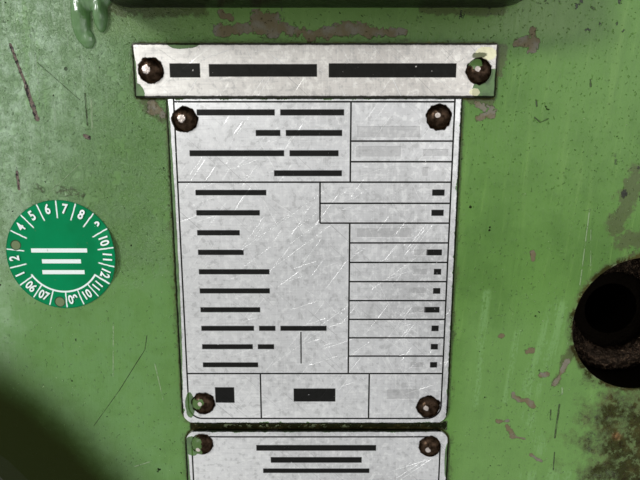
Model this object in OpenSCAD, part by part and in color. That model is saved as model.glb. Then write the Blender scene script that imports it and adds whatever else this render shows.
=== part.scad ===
// Small single-column eccentric press, open at the front, for stamping and cutting.
// X runs to the operator's right, Y towards the back of the machine, Z up.
// The origin is on the floor, in the middle of the four anchor holes.

/* [Frame casting] */
// Width of the cast column and head
frame_w = 300; // [290:1:320]
// Height of the frame's top face above the floor
frame_top = 1650; // [1640:1:1680]
// Rear face of the column, from the anchor pattern's centre
frame_rear = 330; // [320:1:335]
// Front face of the column, which is the back wall of the throat
throat_back = -28; // [-32:1:-24]
// Distance from the ram's axis to the back wall of the throat
throat_depth = 172; // [168:1:176]
// Height of the throat's upper face
throat_top = 1146; // [1142:1:1150]
// Radius of the throat's upper corner
throat_r = 112; // [104:1:114]
// Rounding of the casting's outer edges
edge_r = 24; // [18:1:26]
// Distance from the ram's axis to the head's front face
head_reach = 70; // [68:1:74]
// Height of the head's front face, up to where it slopes back
head_slope_z = 1600; // [1596:1:1606]
// Half width of the ram's channel in the head
channel_half = 110; // [109:1:114]
// Depth of the ram's channel behind the ram's axis
channel_back = 75; // [72:1:80]
// Top of the ram's channel
channel_top = 1578; // [1576:1:1580]

/* [Base] */
// Width of the foot flange
base_w = 520; // [500:1:540]
// Depth of the foot flange
base_d = 700; // [690:1:720]
// Thickness of the foot flange
base_h = 60; // [50:1:62]
// Distance between the anchor holes, side to side
anchor_x = 440; // [430:1:450]
// Distance between the anchor holes, front to back
anchor_y = 600; // [590:1:610]
// Diameter of the anchor holes
anchor_d = 22; // [18:1:26]
// Thickness of the gussets between column and foot
gusset_t = 26; // [20:1:32]

/* [Shaft and eccentric] */
// Height of the shaft's axis
shaft_z = 1480; // [1476:1:1484]
// Front journal of the shaft
front_journal_d = 80; // [76:1:84]
// Rear journal of the shaft
rear_journal_d = 70; // [66:1:72]
// Flywheel seat of the shaft
flywheel_seat_d = 60; // [56:1:62]
// Bore in the casting for the bronze bushes
bush_bore_d = 100; // [98:1:106]
// Length of each bronze bush
bush_len = 100; // [90:1:110]
// Diameter of the eccentric turned on the shaft
eccentric_d = 90; // [86:1:92]
// Offset of that eccentric from the shaft's axis
eccentric_offset = 7; // [6:0.5:8]
// Outer diameter of the stroke bush
stroke_bush_d = 120; // [118:1:122]
// Offset between the stroke bush's bore and its outside
stroke_bush_offset = 8; // [7:0.5:8]
// Width of the eccentric and the rod's big end
eccentric_w = 70; // [64:1:72]
// Teeth of the ring that locks the stroke bush
stroke_ring_teeth = 24; // [18:1:30]

/* [Connecting rod] */
// Outside diameter of the rod's big end
big_end_d = 156; // [154:1:158]
// Distance from the big end's centre to the ball's centre
rod_len = 230; // [228:1:234]
// Diameter of the ball
ball_d = 50; // [48:1:51]
// Diameter of the ball screw
ball_screw_d = 40; // [36:1:42]
// Diameter of the rod's shank
rod_shank_d = 66; // [62:1:70]
// Travel of the ball screw for setting the ram's height
screw_travel = 20; // [10:1:22]

/* [Ram and guides] */
// Height of the ram's lower face, with the eccentric at the top
ram_bottom = 1060; // [1050:1:1066]
// Height of the ram block
ram_h = 270; // [266:1:274]
// Half width of the ram's body
ram_half = 62; // [60:1:64]
// Depth of the ram's body, front to back
ram_d = 124; // [120:1:126]
// How far each V guide stands out from the ram
vee_h = 22; // [18:1:24]
// Diameter of the tool shank hole
shank_d = 32; // [25:1:32]
// Depth of the tool shank hole
shank_len = 70; // [60:1:75]
// Lower end of the guides
gib_bottom = 1154; // [1152:1:1160]
// Upper end of the guides
gib_top = 1400; // [1390:1:1402]
// Clearance of the ram in its guides
slide_gap = 0.3; // [0.2:0.05:0.35]

/* [Table] */
// Width of the table
table_w = 400; // [380:1:420]
// Depth of the table, front to back
table_d = 290; // [280:1:294]
// Height of the table casting's upper face
table_z = 840; // [836:1:846]
// Thickness of the table casting's plate
table_t = 40; // [36:1:42]
// Thickness of the bolster plate
bolster_t = 42; // [38:1:46]
// Diameter of the hole that blanks drop through
drop_d = 100; // [90:1:110]
// Width of the T-slots' necks
slot_neck = 14; // [12:1:16]
// Width of the T-slots' heads
slot_head = 24; // [22:1:26]
// Lowest edge of the table casting
knee_bottom = 560; // [556:1:566]
// Diameter of the table's lifting screw
spindle_d = 36; // [32:1:38]
// Distance of the lifting screw from the throat's back wall
spindle_back = 67; // [65:1:70]
// Lower pair of table bolts above the table casting's lowest edge
clamp_bolt_low = 50; // [46:1:60]
// Upper pair of table bolts above the table casting's lowest edge
clamp_bolt_high = 200; // [190:1:206]

/* [Flywheel and drive] */
// Diameter of the flywheel
flywheel_d = 480; // [470:1:486]
// Width of the flywheel's rim
flywheel_w = 80; // [76:1:84]
// Front face of the flywheel
flywheel_y = 392; // [392:1:396]
// Diameter of the motor's pulley
pulley_d = 90; // [86:1:94]
// Width of the motor's pulley
pulley_w = 50; // [46:1:52]
// Height of the motor's axis above the frame's top face
motor_up = 142; // [141:1:148]
// Diameter of the motor's barrel
motor_d = 176; // [168:1:180]
// Length of the motor's barrel
motor_len = 220; // [200:1:230]
// Number of cooling fins round the motor
motor_fins = 30; // [24:1:34]
// Number of V-belts
belt_n = 2; // [2:1:2]

/* [Clutch and pedal] */
// Diameter of the brake drum
brake_d = 150; // [144:1:154]
// Diameter of the clutch collar
collar_d = 116; // [112:1:120]
// Distance of the pedal lever from the machine's middle
pedal_x = 200; // [196:1:206]
// Height of the pedal's pivot
pedal_z = 135; // [132:1:140]
// Distance of the pedal's pivot behind the anchor pattern's centre
pedal_pivot_y = 200; // [190:1:210]
// Reach of the pedal in front of its pivot
pedal_reach = 640; // [620:1:650]
// Distance of the clutch lever's pivot from the machine's middle
clutch_pivot_x = 120; // [118:1:124]
// Diameter of the pull rod
pull_rod_d = 14; // [12:1:16]

/* [Data plates] */
// Thickness of the aluminium plates
plate_t = 1; // [0.8:0.1:1.5]
// Distance of the plates' middle from the throat's back wall
plate_back = 83; // [81:1:86]
// Upper edge of the data plate above the throat's upper face
plate_rise = 96.8; // [94:0.1:98]
// Width of the narrow upper strip
strip_w = 101; // [98:1:104]
// Height of the narrow upper strip
strip_h = 14.7; // [13:0.1:16]
// Width of the data plate
data_w = 80.6; // [78:0.2:84]
// Height of the data plate
data_h = 98; // [96:1:100]
// Width of the lower plate
type_w = 82; // [78:1:84]
// Height of the lower plate
type_h = 74; // [60:1:80]
// Gap between the data plate and the lower plate
plate_gap = 2.8; // [2:0.1:4]
// Diameter of the drive screws' heads
rivet_d = 6.8; // [6:0.1:7.5]
// Height of the drive screws' heads
rivet_h = 2.6; // [2:0.1:3]
// Diameter of the round test sticker
sticker_d = 32.8; // [30:0.1:34]
// Thickness of the round test sticker
sticker_t = 0.25; // [0.2:0.05:0.4]

/* [Covers and electrics] */
// Width of the cast side cover
side_cover_w = 127; // [120:1:130]
// Height of the cast side cover
side_cover_h = 170; // [160:1:180]
// How far the side cover stands out
side_cover_t = 20; // [16:1:24]
// Height of the side cover's lower edge above the throat's upper face
side_cover_rise = 120.6; // [120:0.1:124]
// Diameter of the spot face behind the plates
spot_d = 42; // [38:1:44]
// Depth of the spot face
spot_depth = 16; // [12:1:20]
// Bore in the middle of the spot face
spot_bore_d = 17.5; // [16:0.5:20]
// Width of the electrical cabinet, front to back
cabinet_w = 280; // [260:1:290]
// Height of the electrical cabinet
cabinet_h = 420; // [400:1:440]
// Depth of the electrical cabinet, away from the column
cabinet_d = 170; // [160:1:180]
// Height of the cabinet's lower edge
cabinet_z = 620; // [610:1:640]
// Sheet thickness of the cabinet and the belt guard
sheet_t = 2.5; // [2:0.5:3]
// Width of the push-button box
button_box_w = 76; // [70:1:78]
// Height of the push-button box
button_box_h = 150; // [146:1:160]

/* [Hidden] */

$fn = 64;
run_gap = 0.05;
seat_gap = 0.3;
cut = 1;
arc_steps = 8;
edge_steps = 5;

side_x = frame_w / 2;
ram_y = throat_back - throat_depth;
head_front = ram_y - head_reach;
channel_back_y = ram_y + channel_back;

shaft_stroke = 2 * (eccentric_offset + stroke_bush_offset);
pin_z = shaft_z + eccentric_offset + stroke_bush_offset;
ball_z = pin_z - rod_len;
eccentric_y0 = ram_y - eccentric_w / 2;
eccentric_y1 = ram_y + eccentric_w / 2;
ram_top = ram_bottom + ram_h;
pocket_half_x = ball_d / 2 + shaft_stroke / 2 + cut;
pocket_half_y = ball_d / 2 + 3;
pocket_floor = ball_z - shaft_stroke - ball_d / 2 - screw_travel - 2;

gib_back_gap = 5;
gib_flange_t = 18;
gib_flange_x = side_x - 14;
gib_bolt_x = side_x - 28;
front_cover_t = 12;
front_cover_z0 = gib_top + 4;
front_cover_z1 = head_slope_z - 12;
bearing_boss_t = 2;
gib_bolt_z = [for (k = [0:3]) gib_bottom + 25 + k * (gib_top - gib_bottom - 50) / 3];

pad_t = 15;
pad_w = 50;
pad_x = 104;
pad_bottom = 440;
pad_top = 950;
clamp_neck = 18;
clamp_head = 32;
clamp_depth = 34;
knee_face = throat_back - pad_t - seat_gap;
knee_back_t = 38;
spindle_y = throat_back - spindle_back;
spindle_top = 690;
table_drop = 100;
toe_top = 130;
table_front = ram_y - table_d / 2;
clamp_bolt_z = [knee_bottom + clamp_bolt_low, knee_bottom + clamp_bolt_high];

brake_y0 = frame_rear + 6;
brake_w = 26;
collar_y0 = brake_y0 + brake_w + 3;
collar_w = 20;
motor_z = frame_top + motor_up;
motor_rise = motor_z - shaft_z;
motor_y1 = flywheel_y - 14;
motor_y0 = motor_y1 - motor_len;
motor_foot_z = motor_z - 92;
motor_foot_t = 10;
motor_bolt_x = 78;
motor_bolt_y = [motor_y0 + 50, motor_y1 - 60];
belt_y = flywheel_y + flywheel_w / 2;
belt_pitch = 19;
groove_w = 13;
groove_depth = 11;

guard_y0 = flywheel_y - 4;
guard_y1 = flywheel_y + flywheel_w + 22;
guard_r = flywheel_d / 2 + 16;
guard_small_r = pulley_d / 2 + 20;
guard_mounts = [20, 160, 200, 355];
bracket_t = 5;
bracket_bolt_r = 118;

pedal_rear_y = collar_y0 + collar_w / 2;
clutch_z = shaft_z - collar_d / 2 - 28;
lever_t = 12;
lever_h = 36;
fork_pin_d = 12;
spring_z = 600;
guide_z = 690;
guide_t = 12;

window_w = 84;
window_h = 110;
cover_y = plate_back + throat_back;
cover_z0 = throat_top + side_cover_rise;
cover_zc = cover_z0 + side_cover_h / 2;
spot_y = throat_back + 182.2;
spot_z = throat_top + 29.9;

plate_y = throat_back + plate_back;
data_z1 = throat_top + plate_rise;
data_z0 = data_z1 - data_h;
strip_z0 = data_z1 + 0.1;
type_z1 = data_z0 - plate_gap;
type_z0 = type_z1 - type_h;
plate_r = 5;
sticker_y = throat_back + 7.4;
sticker_z = throat_top + 51.6;

cavity_half = side_x - 40;
cavity_z0 = 150;
cavity_z1 = 1020;
neck_half = 80;
rear_screw_z = [for (k = [0:3]) cavity_z0 + k * (cavity_z1 - cavity_z0) / 3];
cabinet_y0 = 20;
button_x = -side_x - button_box_w / 2;
button_y = head_front + 16;
button_zc = throat_top + 164;

// Corners of the casting's side outline as [y, z, radius], against the clock
frame_corners = [
    [throat_back, base_h - 30, 24],
    [frame_rear, base_h - 30, 24],
    [frame_rear, frame_top, 40],
    [head_front + 70, frame_top, 50],
    [head_front, head_slope_z, 20],
    [head_front, throat_top, 45],
    [throat_back, throat_top, throat_r]
];

function unit(v) = v / norm(v);
function left_of(v) = [-v[1], v[0]];
function corner_point(c) = [c[0], c[1]];
function turned(v, a) = [v[0] * cos(a) - v[1] * sin(a), v[0] * sin(a) + v[1] * cos(a)];

// Points of one rounded corner of an outline that is moved inwards by inset
function corner_arc(corners, i, inset) =
    let (n = len(corners),
         a = corner_point(corners[(i + n - 1) % n]),
         b = corner_point(corners[i]),
         c = corner_point(corners[(i + 1) % n]),
         d1 = unit(b - a),
         d2 = unit(c - b),
         turn = atan2(d1[0] * d2[1] - d1[1] * d2[0], d1 * d2),
         n1 = left_of(d1),
         n2 = left_of(d2),
         q = b + inset * (n1 + n2) / (1 + n1 * n2),
         side = turn > 0 ? 1 : -1,
         r = max(corners[i][2] - side * inset, 0.5),
         start = q - d1 * r * tan(abs(turn) / 2),
         centre = start + n1 * side * r)
    [for (k = [0:arc_steps]) centre + turned(start - centre, turn * k / arc_steps)];

function outline(corners, inset) =
    [for (i = [0:len(corners) - 1]) each corner_arc(corners, i, inset)];

// Sections through the casting as [x, inset], with round edges on both sides
edge_sections = [
    for (k = [0:edge_steps]) let (a = 90 - 90 * k / edge_steps)
        [-side_x + edge_r * (1 - sin(a)), edge_r * (1 - cos(a))],
    for (k = [0:edge_steps]) let (a = 90 * k / edge_steps)
        [side_x - edge_r * (1 - sin(a)), edge_r * (1 - cos(a))]
];

module box(x0, x1, y0, y1, z0, z1) {
    translate([x0, y0, z0]) cube([x1 - x0, y1 - y0, z1 - z0]);
}

module rod_x(d, x0, x1, y, z) {
    translate([x0, y, z]) rotate([0, 90, 0]) cylinder(h = x1 - x0, d = d);
}

module rod_y(d, y0, y1, x, z) {
    translate([x, y1, z]) rotate([90, 0, 0]) cylinder(h = y1 - y0, d = d);
}

module rod_z(d, z0, z1, x, y) {
    translate([x, y, z0]) cylinder(h = z1 - z0, d = d);
}

// A drawing in the Y-Z plane, made solid from x0 to x1
module side_solid(x0, x1) {
    translate([x0, 0, 0]) rotate([90, 0, 90]) linear_extrude(x1 - x0) children();
}

// A drawing in the X-Z plane, made solid from y0 to y1
module front_solid(y0, y1) {
    translate([0, y1, 0]) rotate([90, 0, 0]) linear_extrude(y1 - y0) children();
}

module rounded_rect(w, h, r) {
    square([w - 2 * r, h], center = true);
    square([w, h - 2 * r], center = true);
    for (x = [-1, 1], y = [-1, 1])
        translate([x * (w / 2 - r), y * (h / 2 - r)]) circle(r);
}

// A hexagon head that stands up from z = 0
module hex_head(d) {
    cylinder(h = 0.65 * d, d = 1.85 * d, $fn = 6);
}

module cap_head(d) {
    difference() {
        cylinder(h = d, d = 1.5 * d, $fn = 32);
        translate([0, 0, 0.5 * d]) cylinder(h = d, d = 0.9 * d, $fn = 6);
    }
}

// A slice of a ball that stands up from z = 0, like a round screw head
module dome(d, h) {
    r = (d * d / 4 + h * h) / (2 * h);
    intersection() {
        translate([0, 0, h - r]) sphere(r);
        cylinder(h = h + cut, d = d);
    }
}

// Turns a part that stands up from z = 0 so that it points along -Y, +X or -X
module face_front(x, y, z) {
    translate([x, y, z]) rotate([90, 0, 0]) children();
}

module face_right(x, y, z) {
    translate([x, y, z]) rotate([0, 90, 0]) children();
}

module face_left(x, y, z) {
    translate([x, y, z]) rotate([0, -90, 0]) children();
}

module face_back(x, y, z) {
    translate([x, y, z]) rotate([-90, 0, 0]) children();
}

module cast_body() {
    n = len(frame_corners) * (arc_steps + 1);
    m = len(edge_sections);
    points = [for (s = edge_sections) for (p = outline(frame_corners, s[1]))
        [s[0], p[0], p[1]]];
    sides = [for (j = [0:m - 2]) for (i = [0:n - 1]) let (k = (i + 1) % n)
        [j * n + i, (j + 1) * n + i, (j + 1) * n + k, j * n + k]];
    apex = 2 * (arc_steps + 1);
    first = [for (i = [1:n - 2]) [apex, (apex + i) % n, (apex + i + 1) % n]];
    last = [for (f = first) [for (i = [2, 1, 0]) (m - 1) * n + f[i]]];
    polyhedron(points = points, faces = concat(sides, first, last), convexity = 6);
}

module foot_flange() {
    difference() {
        linear_extrude(base_h) rounded_rect(base_w, base_d, 40);
        for (x = [-1, 1], y = [-1, 1])
            rod_z(anchor_d, -cut, base_h + cut, x * anchor_x / 2, y * anchor_y / 2);
    }
}

module gussets() {
    reach = pedal_x - 15;
    for (s = [-1, 1], y = [60, 280])
        front_solid(y - gusset_t / 2, y + gusset_t / 2)
            polygon([[s * (side_x - 10), base_h - 5], [s * reach, base_h - 5],
                [s * reach, base_h + 14], [s * (side_x - 10), base_h + 190]]);
}

// The foot of the table's screw, with two sloping ribs in front of the column
module toe() {
    box(-60, 60, spindle_y - 45, throat_back + 10, base_h - 5, toe_top);
    for (s = [-1, 1])
        side_solid(s * 110 - gusset_t / 2, s * 110 + gusset_t / 2)
            polygon([[throat_back + 10, base_h - 5], [throat_back + 10, 330],
                [throat_back - 5, 330], [-base_d / 2 + 50, base_h + 16],
                [-base_d / 2 + 50, base_h - 5]]);
}

module table_pads() {
    for (s = [-1, 1])
        box(s * pad_x - pad_w / 2, s * pad_x + pad_w / 2,
            throat_back - pad_t, throat_back + 2, pad_bottom, pad_top);
}

module clamp_slots() {
    for (s = [-1, 1]) {
        box(s * pad_x - clamp_neck / 2, s * pad_x + clamp_neck / 2,
            throat_back - pad_t - cut, throat_back - pad_t + clamp_depth,
            pad_bottom + 30, pad_top + cut);
        box(s * pad_x - clamp_head / 2, s * pad_x + clamp_head / 2,
            throat_back - pad_t + clamp_depth - 14, throat_back - pad_t + clamp_depth,
            pad_bottom + 30, pad_top + cut);
    }
}

module ram_channel() {
    box(-channel_half, channel_half, head_front - cut, channel_back_y,
        throat_top - 40, channel_top);
}

module column_cavity() {
    box(-cavity_half, cavity_half, 20, frame_rear + cut, cavity_z0, cavity_z1 - cavity_half);
    rod_y(2 * cavity_half, 20, frame_rear + cut, 0, cavity_z1 - cavity_half);
    box(-neck_half, neck_half, 40, frame_rear - 30, cavity_z1 - 60, throat_top + 104);
}

// The hollow round the middle of the shaft, between the two bearing walls
module head_cavity() {
    box(-cavity_half, cavity_half, throat_back + 15, frame_rear - bush_len - 15,
        throat_top + 154, frame_top - 50);
}

module side_window() {
    side_solid(40, side_x + cut)
        translate([cover_y, cover_zc]) rounded_rect(window_w, window_h, 16);
}

module frame() {
    color([0.40, 0.56, 0.30])
    difference() {
        union() {
            cast_body();
            foot_flange();
            gussets();
            toe();
            table_pads();
            box(-115, 115, 90, frame_rear - 40, frame_top - 5, frame_top + 6);
            rod_y(bush_bore_d + 50, frame_rear - 5, frame_rear + bearing_boss_t, 0, shaft_z);
        }
        ram_channel();
        column_cavity();
        head_cavity();
        side_window();
        clamp_slots();
        rod_y(bush_bore_d, channel_back_y - cut, frame_rear + bearing_boss_t + cut, 0, shaft_z);
        rod_x(spot_d, side_x - spot_depth, side_x + cut, spot_y, spot_z);
        rod_x(spot_bore_d, side_x - spot_depth - 34, side_x, spot_y, spot_z);
        rod_z(spindle_d + 2 * run_gap, toe_top - 40, toe_top + cut, 0, spindle_y);
        for (z = gib_bolt_z) rod_x(12.4, channel_half - cut, side_x + cut, ram_y, z);
    }
}

module shaft_bush(y0, y1, journal_d) {
    color([0.72, 0.52, 0.26])
    difference() {
        rod_y(bush_bore_d - 2 * run_gap, y0, y1, 0, shaft_z);
        rod_y(journal_d + 2 * run_gap, y0 - cut, y1 + cut, 0, shaft_z);
    }
}

module front_bush() {
    shaft_bush(channel_back_y - 4, channel_back_y - 4 + bush_len, front_journal_d);
}

module rear_bush() {
    shaft_bush(frame_rear - bush_len, frame_rear + 3, rear_journal_d);
}

// One of the two guides: a block with a V groove and a flange on the head's front
module gib(s) {
    inner = ram_half + slide_gap;
    back = channel_back_y - gib_back_gap;
    front = head_front - gib_flange_t;
    groove = vee_h + slide_gap;
    color([0.45, 0.47, 0.44])
    difference() {
        translate([0, 0, gib_bottom]) linear_extrude(gib_top - gib_bottom)
            polygon([
                [s * inner, front], [s * gib_flange_x, front],
                [s * gib_flange_x, head_front - 0.1], [s * (channel_half - 0.2), head_front - 0.1],
                [s * (channel_half - 0.2), back], [s * inner, back],
                [s * inner, ram_y + groove], [s * (inner + groove), ram_y],
                [s * inner, ram_y - groove]
            ]);
        for (z = gib_bolt_z)
            rod_y(12.4, front - cut, head_front + cut, s * gib_bolt_x, z);
    }
}

module left_gib() {
    gib(-1);
}

module right_gib() {
    gib(1);
}

// The M12 hexagon bolts of the guides, the motor and the guard's brackets
module hex_bolts() {
    color([0.30, 0.30, 0.30]) {
        for (s = [-1, 1], z = gib_bolt_z)
            face_front(s * gib_bolt_x, head_front - gib_flange_t, z) {
                hex_head(12);
                translate([0, 0, -gib_flange_t + 0.5]) cylinder(h = gib_flange_t, d = 12);
            }
        for (s = [-1, 1], y = motor_bolt_y)
            translate([s * motor_bolt_x, y, motor_foot_z + motor_foot_t]) hex_head(12);
        for (a = guard_mounts)
            face_back(bracket_bolt_r * cos(a), frame_rear + bracket_t,
                shaft_z + bracket_bolt_r * sin(a)) hex_head(12);
    }
}

module gib_adjusting_screws() {
    color([0.34, 0.34, 0.33])
    for (z = gib_bolt_z) {
        rod_x(11.8, channel_half, side_x + 22, ram_y, z);
        face_right(side_x, ram_y, z) cylinder(h = 9, d = 21, $fn = 6);
        face_right(side_x + 22, ram_y, z) cylinder(h = 8, d = 14, $fn = 32);
    }
}

// Cast cover in front of the eccentric, with a hole that shows the shaft's nut
module front_cover() {
    y0 = head_front - front_cover_t;
    zc = (front_cover_z0 + front_cover_z1) / 2;
    w = 2 * channel_half + 44;
    hole_d = 96;
    color([0.40, 0.56, 0.30])
    difference() {
        union() {
            front_solid(y0, head_front)
                translate([0, zc]) rounded_rect(w, front_cover_z1 - front_cover_z0, 20);
            rod_y(hole_d + 16, y0 - 5, y0 + cut, 0, shaft_z);
        }
        rod_y(hole_d, y0 - 5 - cut, head_front + cut, 0, shaft_z);
    }
}

module side_cover() {
    r = 14;
    color([0.36, 0.52, 0.28])
    difference() {
        union() {
            side_solid(side_x, side_x + side_cover_t)
                translate([cover_y, cover_zc]) rounded_rect(side_cover_w, side_cover_h, r);
            side_solid(side_x + side_cover_t - cut, side_x + side_cover_t + 6)
                translate([cover_y, cover_zc])
                    rounded_rect(side_cover_w - 44, side_cover_h - 44, 8);
        }
        side_solid(side_x - cut, side_x + side_cover_t - 8)
            translate([cover_y, cover_zc]) rounded_rect(window_w, window_h, 14);
    }
}

module rear_cover() {
    h = cavity_z1 - cavity_z0 + 40;
    color([0.40, 0.56, 0.30])
    difference() {
        front_solid(frame_rear, frame_rear + 4)
            translate([0, (cavity_z0 + cavity_z1) / 2]) rounded_rect(2 * cavity_half + 34, h, 20);
        for (k = [0:6])
            box(-60, 60, frame_rear - cut, frame_rear + 5, 240 + 24 * k, 248 + 24 * k);
    }
}

module cover_screws() {
    color([0.28, 0.28, 0.27]) {
        for (s = [-1, 1], t = [-1, 1])
            face_right(side_x + side_cover_t, cover_y + s * (side_cover_w / 2 - 12),
                cover_zc + t * (side_cover_h / 2 - 12)) cap_head(8);
        for (s = [-1, 1], z = [front_cover_z0 + 16, front_cover_z1 - 16])
            face_front(s * (channel_half + 12), head_front - front_cover_t, z) cap_head(8);
        for (s = [-1, 1], z = rear_screw_z)
            face_back(s * (cavity_half + 9), frame_rear + 4, z) cap_head(8);
    }
}

module plate(z0, w, h, r) {
    color([0.80, 0.80, 0.77])
    side_solid(side_x, side_x + plate_t)
        translate([plate_y, z0 + h / 2]) rounded_rect(w, h, r);
}

module title_strip() {
    plate(strip_z0, strip_w, strip_h, 0.6);
}

module data_plate() {
    plate(data_z0, data_w, data_h, plate_r);
    color([0.80, 0.80, 0.77])
    side_solid(side_x, side_x + plate_t)
        translate([plate_y - data_w / 2, data_z1 - 10]) square([data_w, 10]);
}

module type_plate() {
    plate(type_z0, type_w, type_h, plate_r);
}

module plate_rivets() {
    color([0.26, 0.20, 0.14])
    for (place = [
        [strip_w / 2 - 4.6, strip_z0 + strip_h / 2],
        [data_w / 2 - 5.2, data_z1 - 5.6], [data_w / 2 - 4.6, data_z0 + 5.4],
        [type_w / 2 - 5, type_z1 - 5], [type_w / 2 - 5, type_z0 + 5]
    ])
        for (s = [-1, 1])
            face_right(side_x + plate_t, plate_y + s * place[0], place[1])
                dome(rivet_d, rivet_h);
}

module test_sticker() {
    color([0.05, 0.42, 0.26])
    difference() {
        rod_x(sticker_d, side_x, side_x + sticker_t, sticker_y, sticker_z);
        rod_x(2.4, side_x - cut, side_x + cut, sticker_y - 13.5, sticker_z + 4.1);
        rod_x(2.6, side_x - cut, side_x + cut, sticker_y - 1, sticker_z - 13.5);
    }
}

module lifting_eye() {
    y = -60;
    color([0.32, 0.33, 0.32]) {
        rod_z(40, frame_top, frame_top + 8, 0, y);
        translate([0, y, frame_top + 36]) rotate([90, 0, 0])
            rotate_extrude() translate([23, 0]) circle(7, $fn = 24);
        rod_z(18, frame_top + 6, frame_top + 14, 0, y);
    }
}

module oil_cup(d) {
    cylinder(h = 10, d = d * 0.6, $fn = 6);
    translate([0, 0, 9]) cylinder(h = 18, d = d);
    translate([0, 0, 27]) cylinder(h = 4, d1 = d + 2, d2 = d * 0.6);
}

module oil_cups() {
    color([0.70, 0.58, 0.30]) {
        for (y = [10, 60]) translate([-60, y, frame_top]) oil_cup(20);
        for (z = [gib_bottom + 50, gib_top - 40])
            face_left(-side_x, ram_y + 32, z) oil_cup(16);
    }
}

module motor_bracket() {
    z0 = frame_top + 6;
    color([0.40, 0.56, 0.30])
    difference() {
        box(-105, 105, 110, motor_y1 - 14, z0, motor_foot_z);
        box(-70, 70, 110 - cut, motor_y1, z0 + 10, motor_foot_z - 10);
        box(-106, 106, 150, motor_y1 - 54, z0 + 10, motor_foot_z - 10);
    }
}

module motor_body() {
    color([0.35, 0.42, 0.38])
    difference() {
        union() {
            rod_y(motor_d - 18, motor_y0, motor_y1 - 6, 0, motor_z);
            rod_y(motor_d - 4, motor_y0, motor_y0 + 16, 0, motor_z);
            rod_y(motor_d - 4, motor_y1 - 22, motor_y1 - 6, 0, motor_z);
            rod_y(70, motor_y1 - 7, motor_y1, 0, motor_z);
            for (k = [0:motor_fins - 1])
                translate([0, 0, motor_z]) rotate([0, k * 360 / motor_fins, 0])
                    translate([0, 0, -motor_z])
                        box(-1.5, 1.5, motor_y0 + 10, motor_y1 - 16,
                            motor_z + 60, motor_z + motor_d / 2);
            for (s = [-1, 1], y = motor_bolt_y)
                box(s * 68 - 30, s * 68 + 30, y - 22, y + 22,
                    motor_foot_z, motor_foot_z + motor_foot_t);
            for (s = [-1, 1])
                box(s * 46 - 9, s * 46 + 9, motor_y0 + 30, motor_y1 - 40,
                    motor_foot_z, motor_z - 40);
        }
        rod_y(24 + 2 * run_gap, motor_y1 - 30, motor_y1 + cut, 0, motor_z);
    }
}

module motor_fan_cover() {
    color([0.33, 0.40, 0.36])
    difference() {
        rod_y(motor_d, motor_y0 - 62, motor_y0 - 0.2, 0, motor_z);
        rod_y(motor_d - 5, motor_y0 - 59, motor_y0 + cut, 0, motor_z);
        for (x = [-4:4])
            box(x * 16 - 4, x * 16 + 4, motor_y0 - 62 - cut, motor_y0 - 58,
                motor_z - sqrt(76 * 76 - x * x * 256), motor_z + sqrt(76 * 76 - x * x * 256));
    }
}

module motor_terminal_box() {
    y = (motor_y0 + motor_y1) / 2;
    z = motor_z + motor_d / 2;
    color([0.33, 0.40, 0.36])
    difference() {
        union() {
            translate([0, y, z]) linear_extrude(38) rounded_rect(96, 96, 8);
            translate([0, y, z + 37]) linear_extrude(6) rounded_rect(102, 102, 10);
            rod_x(24, 46, 62, y, z + 20);
        }
        rod_x(14, 30, 63, y, z + 20);
    }
}

// Radii of the flywheel's or pulley's rim, across its belt grooves
function grooved_rim(r, width, bore) = [
    [bore, 0], [r, 0],
    for (k = [0:belt_n - 1]) let (c = width / 2 + (k - (belt_n - 1) / 2) * belt_pitch)
        each [[r, c - groove_w / 2], [r - groove_depth, c - groove_w / 4],
            [r - groove_depth, c + groove_w / 4], [r, c + groove_w / 2]],
    [r, width], [bore, width]
];

module flywheel() {
    r = flywheel_d / 2;
    bore = flywheel_seat_d / 2 + 9;
    color([0.30, 0.33, 0.30])
    difference() {
        translate([0, flywheel_y + flywheel_w, shaft_z]) rotate([90, 0, 0])
            rotate_extrude($fn = 128) polygon(grooved_rim(r, flywheel_w, bore));
        for (side = [[flywheel_y - cut, flywheel_y + 24],
                     [flywheel_y + flywheel_w - 24, flywheel_y + flywheel_w + cut]])
            difference() {
                rod_y(2 * (r - 46), side[0], side[1], 0, shaft_z);
                rod_y(130, side[0] - cut, side[1] + cut, 0, shaft_z);
            }
        for (k = [0:5])
            rod_y(58, flywheel_y, flywheel_y + flywheel_w,
                130 * cos(60 * k + 30), shaft_z + 130 * sin(60 * k + 30));
    }
}

module flywheel_bush() {
    color([0.72, 0.52, 0.26])
    difference() {
        rod_y(flywheel_seat_d + 18 - 2 * run_gap, flywheel_y, flywheel_y + flywheel_w, 0, shaft_z);
        rod_y(flywheel_seat_d + 2 * run_gap, flywheel_y - cut,
            flywheel_y + flywheel_w + cut, 0, shaft_z);
    }
}

module motor_pulley() {
    color([0.36, 0.36, 0.36])
    translate([0, belt_y + pulley_w / 2, motor_z]) rotate([90, 0, 0])
        rotate_extrude() polygon(grooved_rim(pulley_d / 2, pulley_w, 0));
    color([0.55, 0.55, 0.55]) {
        rod_y(24, motor_y1 - 29, belt_y - pulley_w / 2 + cut, 0, motor_z);
        rod_y(14, belt_y + pulley_w / 2 - cut, belt_y + pulley_w / 2 + 8, 0, motor_z);
    }
}

// Sine of the angle at which a straight belt or sheet leaves the two rounds
function lean(r1, r2) = asin((r1 - r2) / motor_rise);

// The outline of a belt round a large and a small wheel, in the X-Z plane
module wrap(r1, r2) {
    a = lean(r1, r2);
    translate([0, shaft_z]) circle(r1, $fn = 128);
    translate([0, motor_z]) circle(r2, $fn = 96);
    polygon([
        [r1 * cos(a), shaft_z + r1 * sin(a)], [r2 * cos(a), motor_z + r2 * sin(a)],
        [-r2 * cos(a), motor_z + r2 * sin(a)], [-r1 * cos(a), shaft_z + r1 * sin(a)]
    ]);
}

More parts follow.
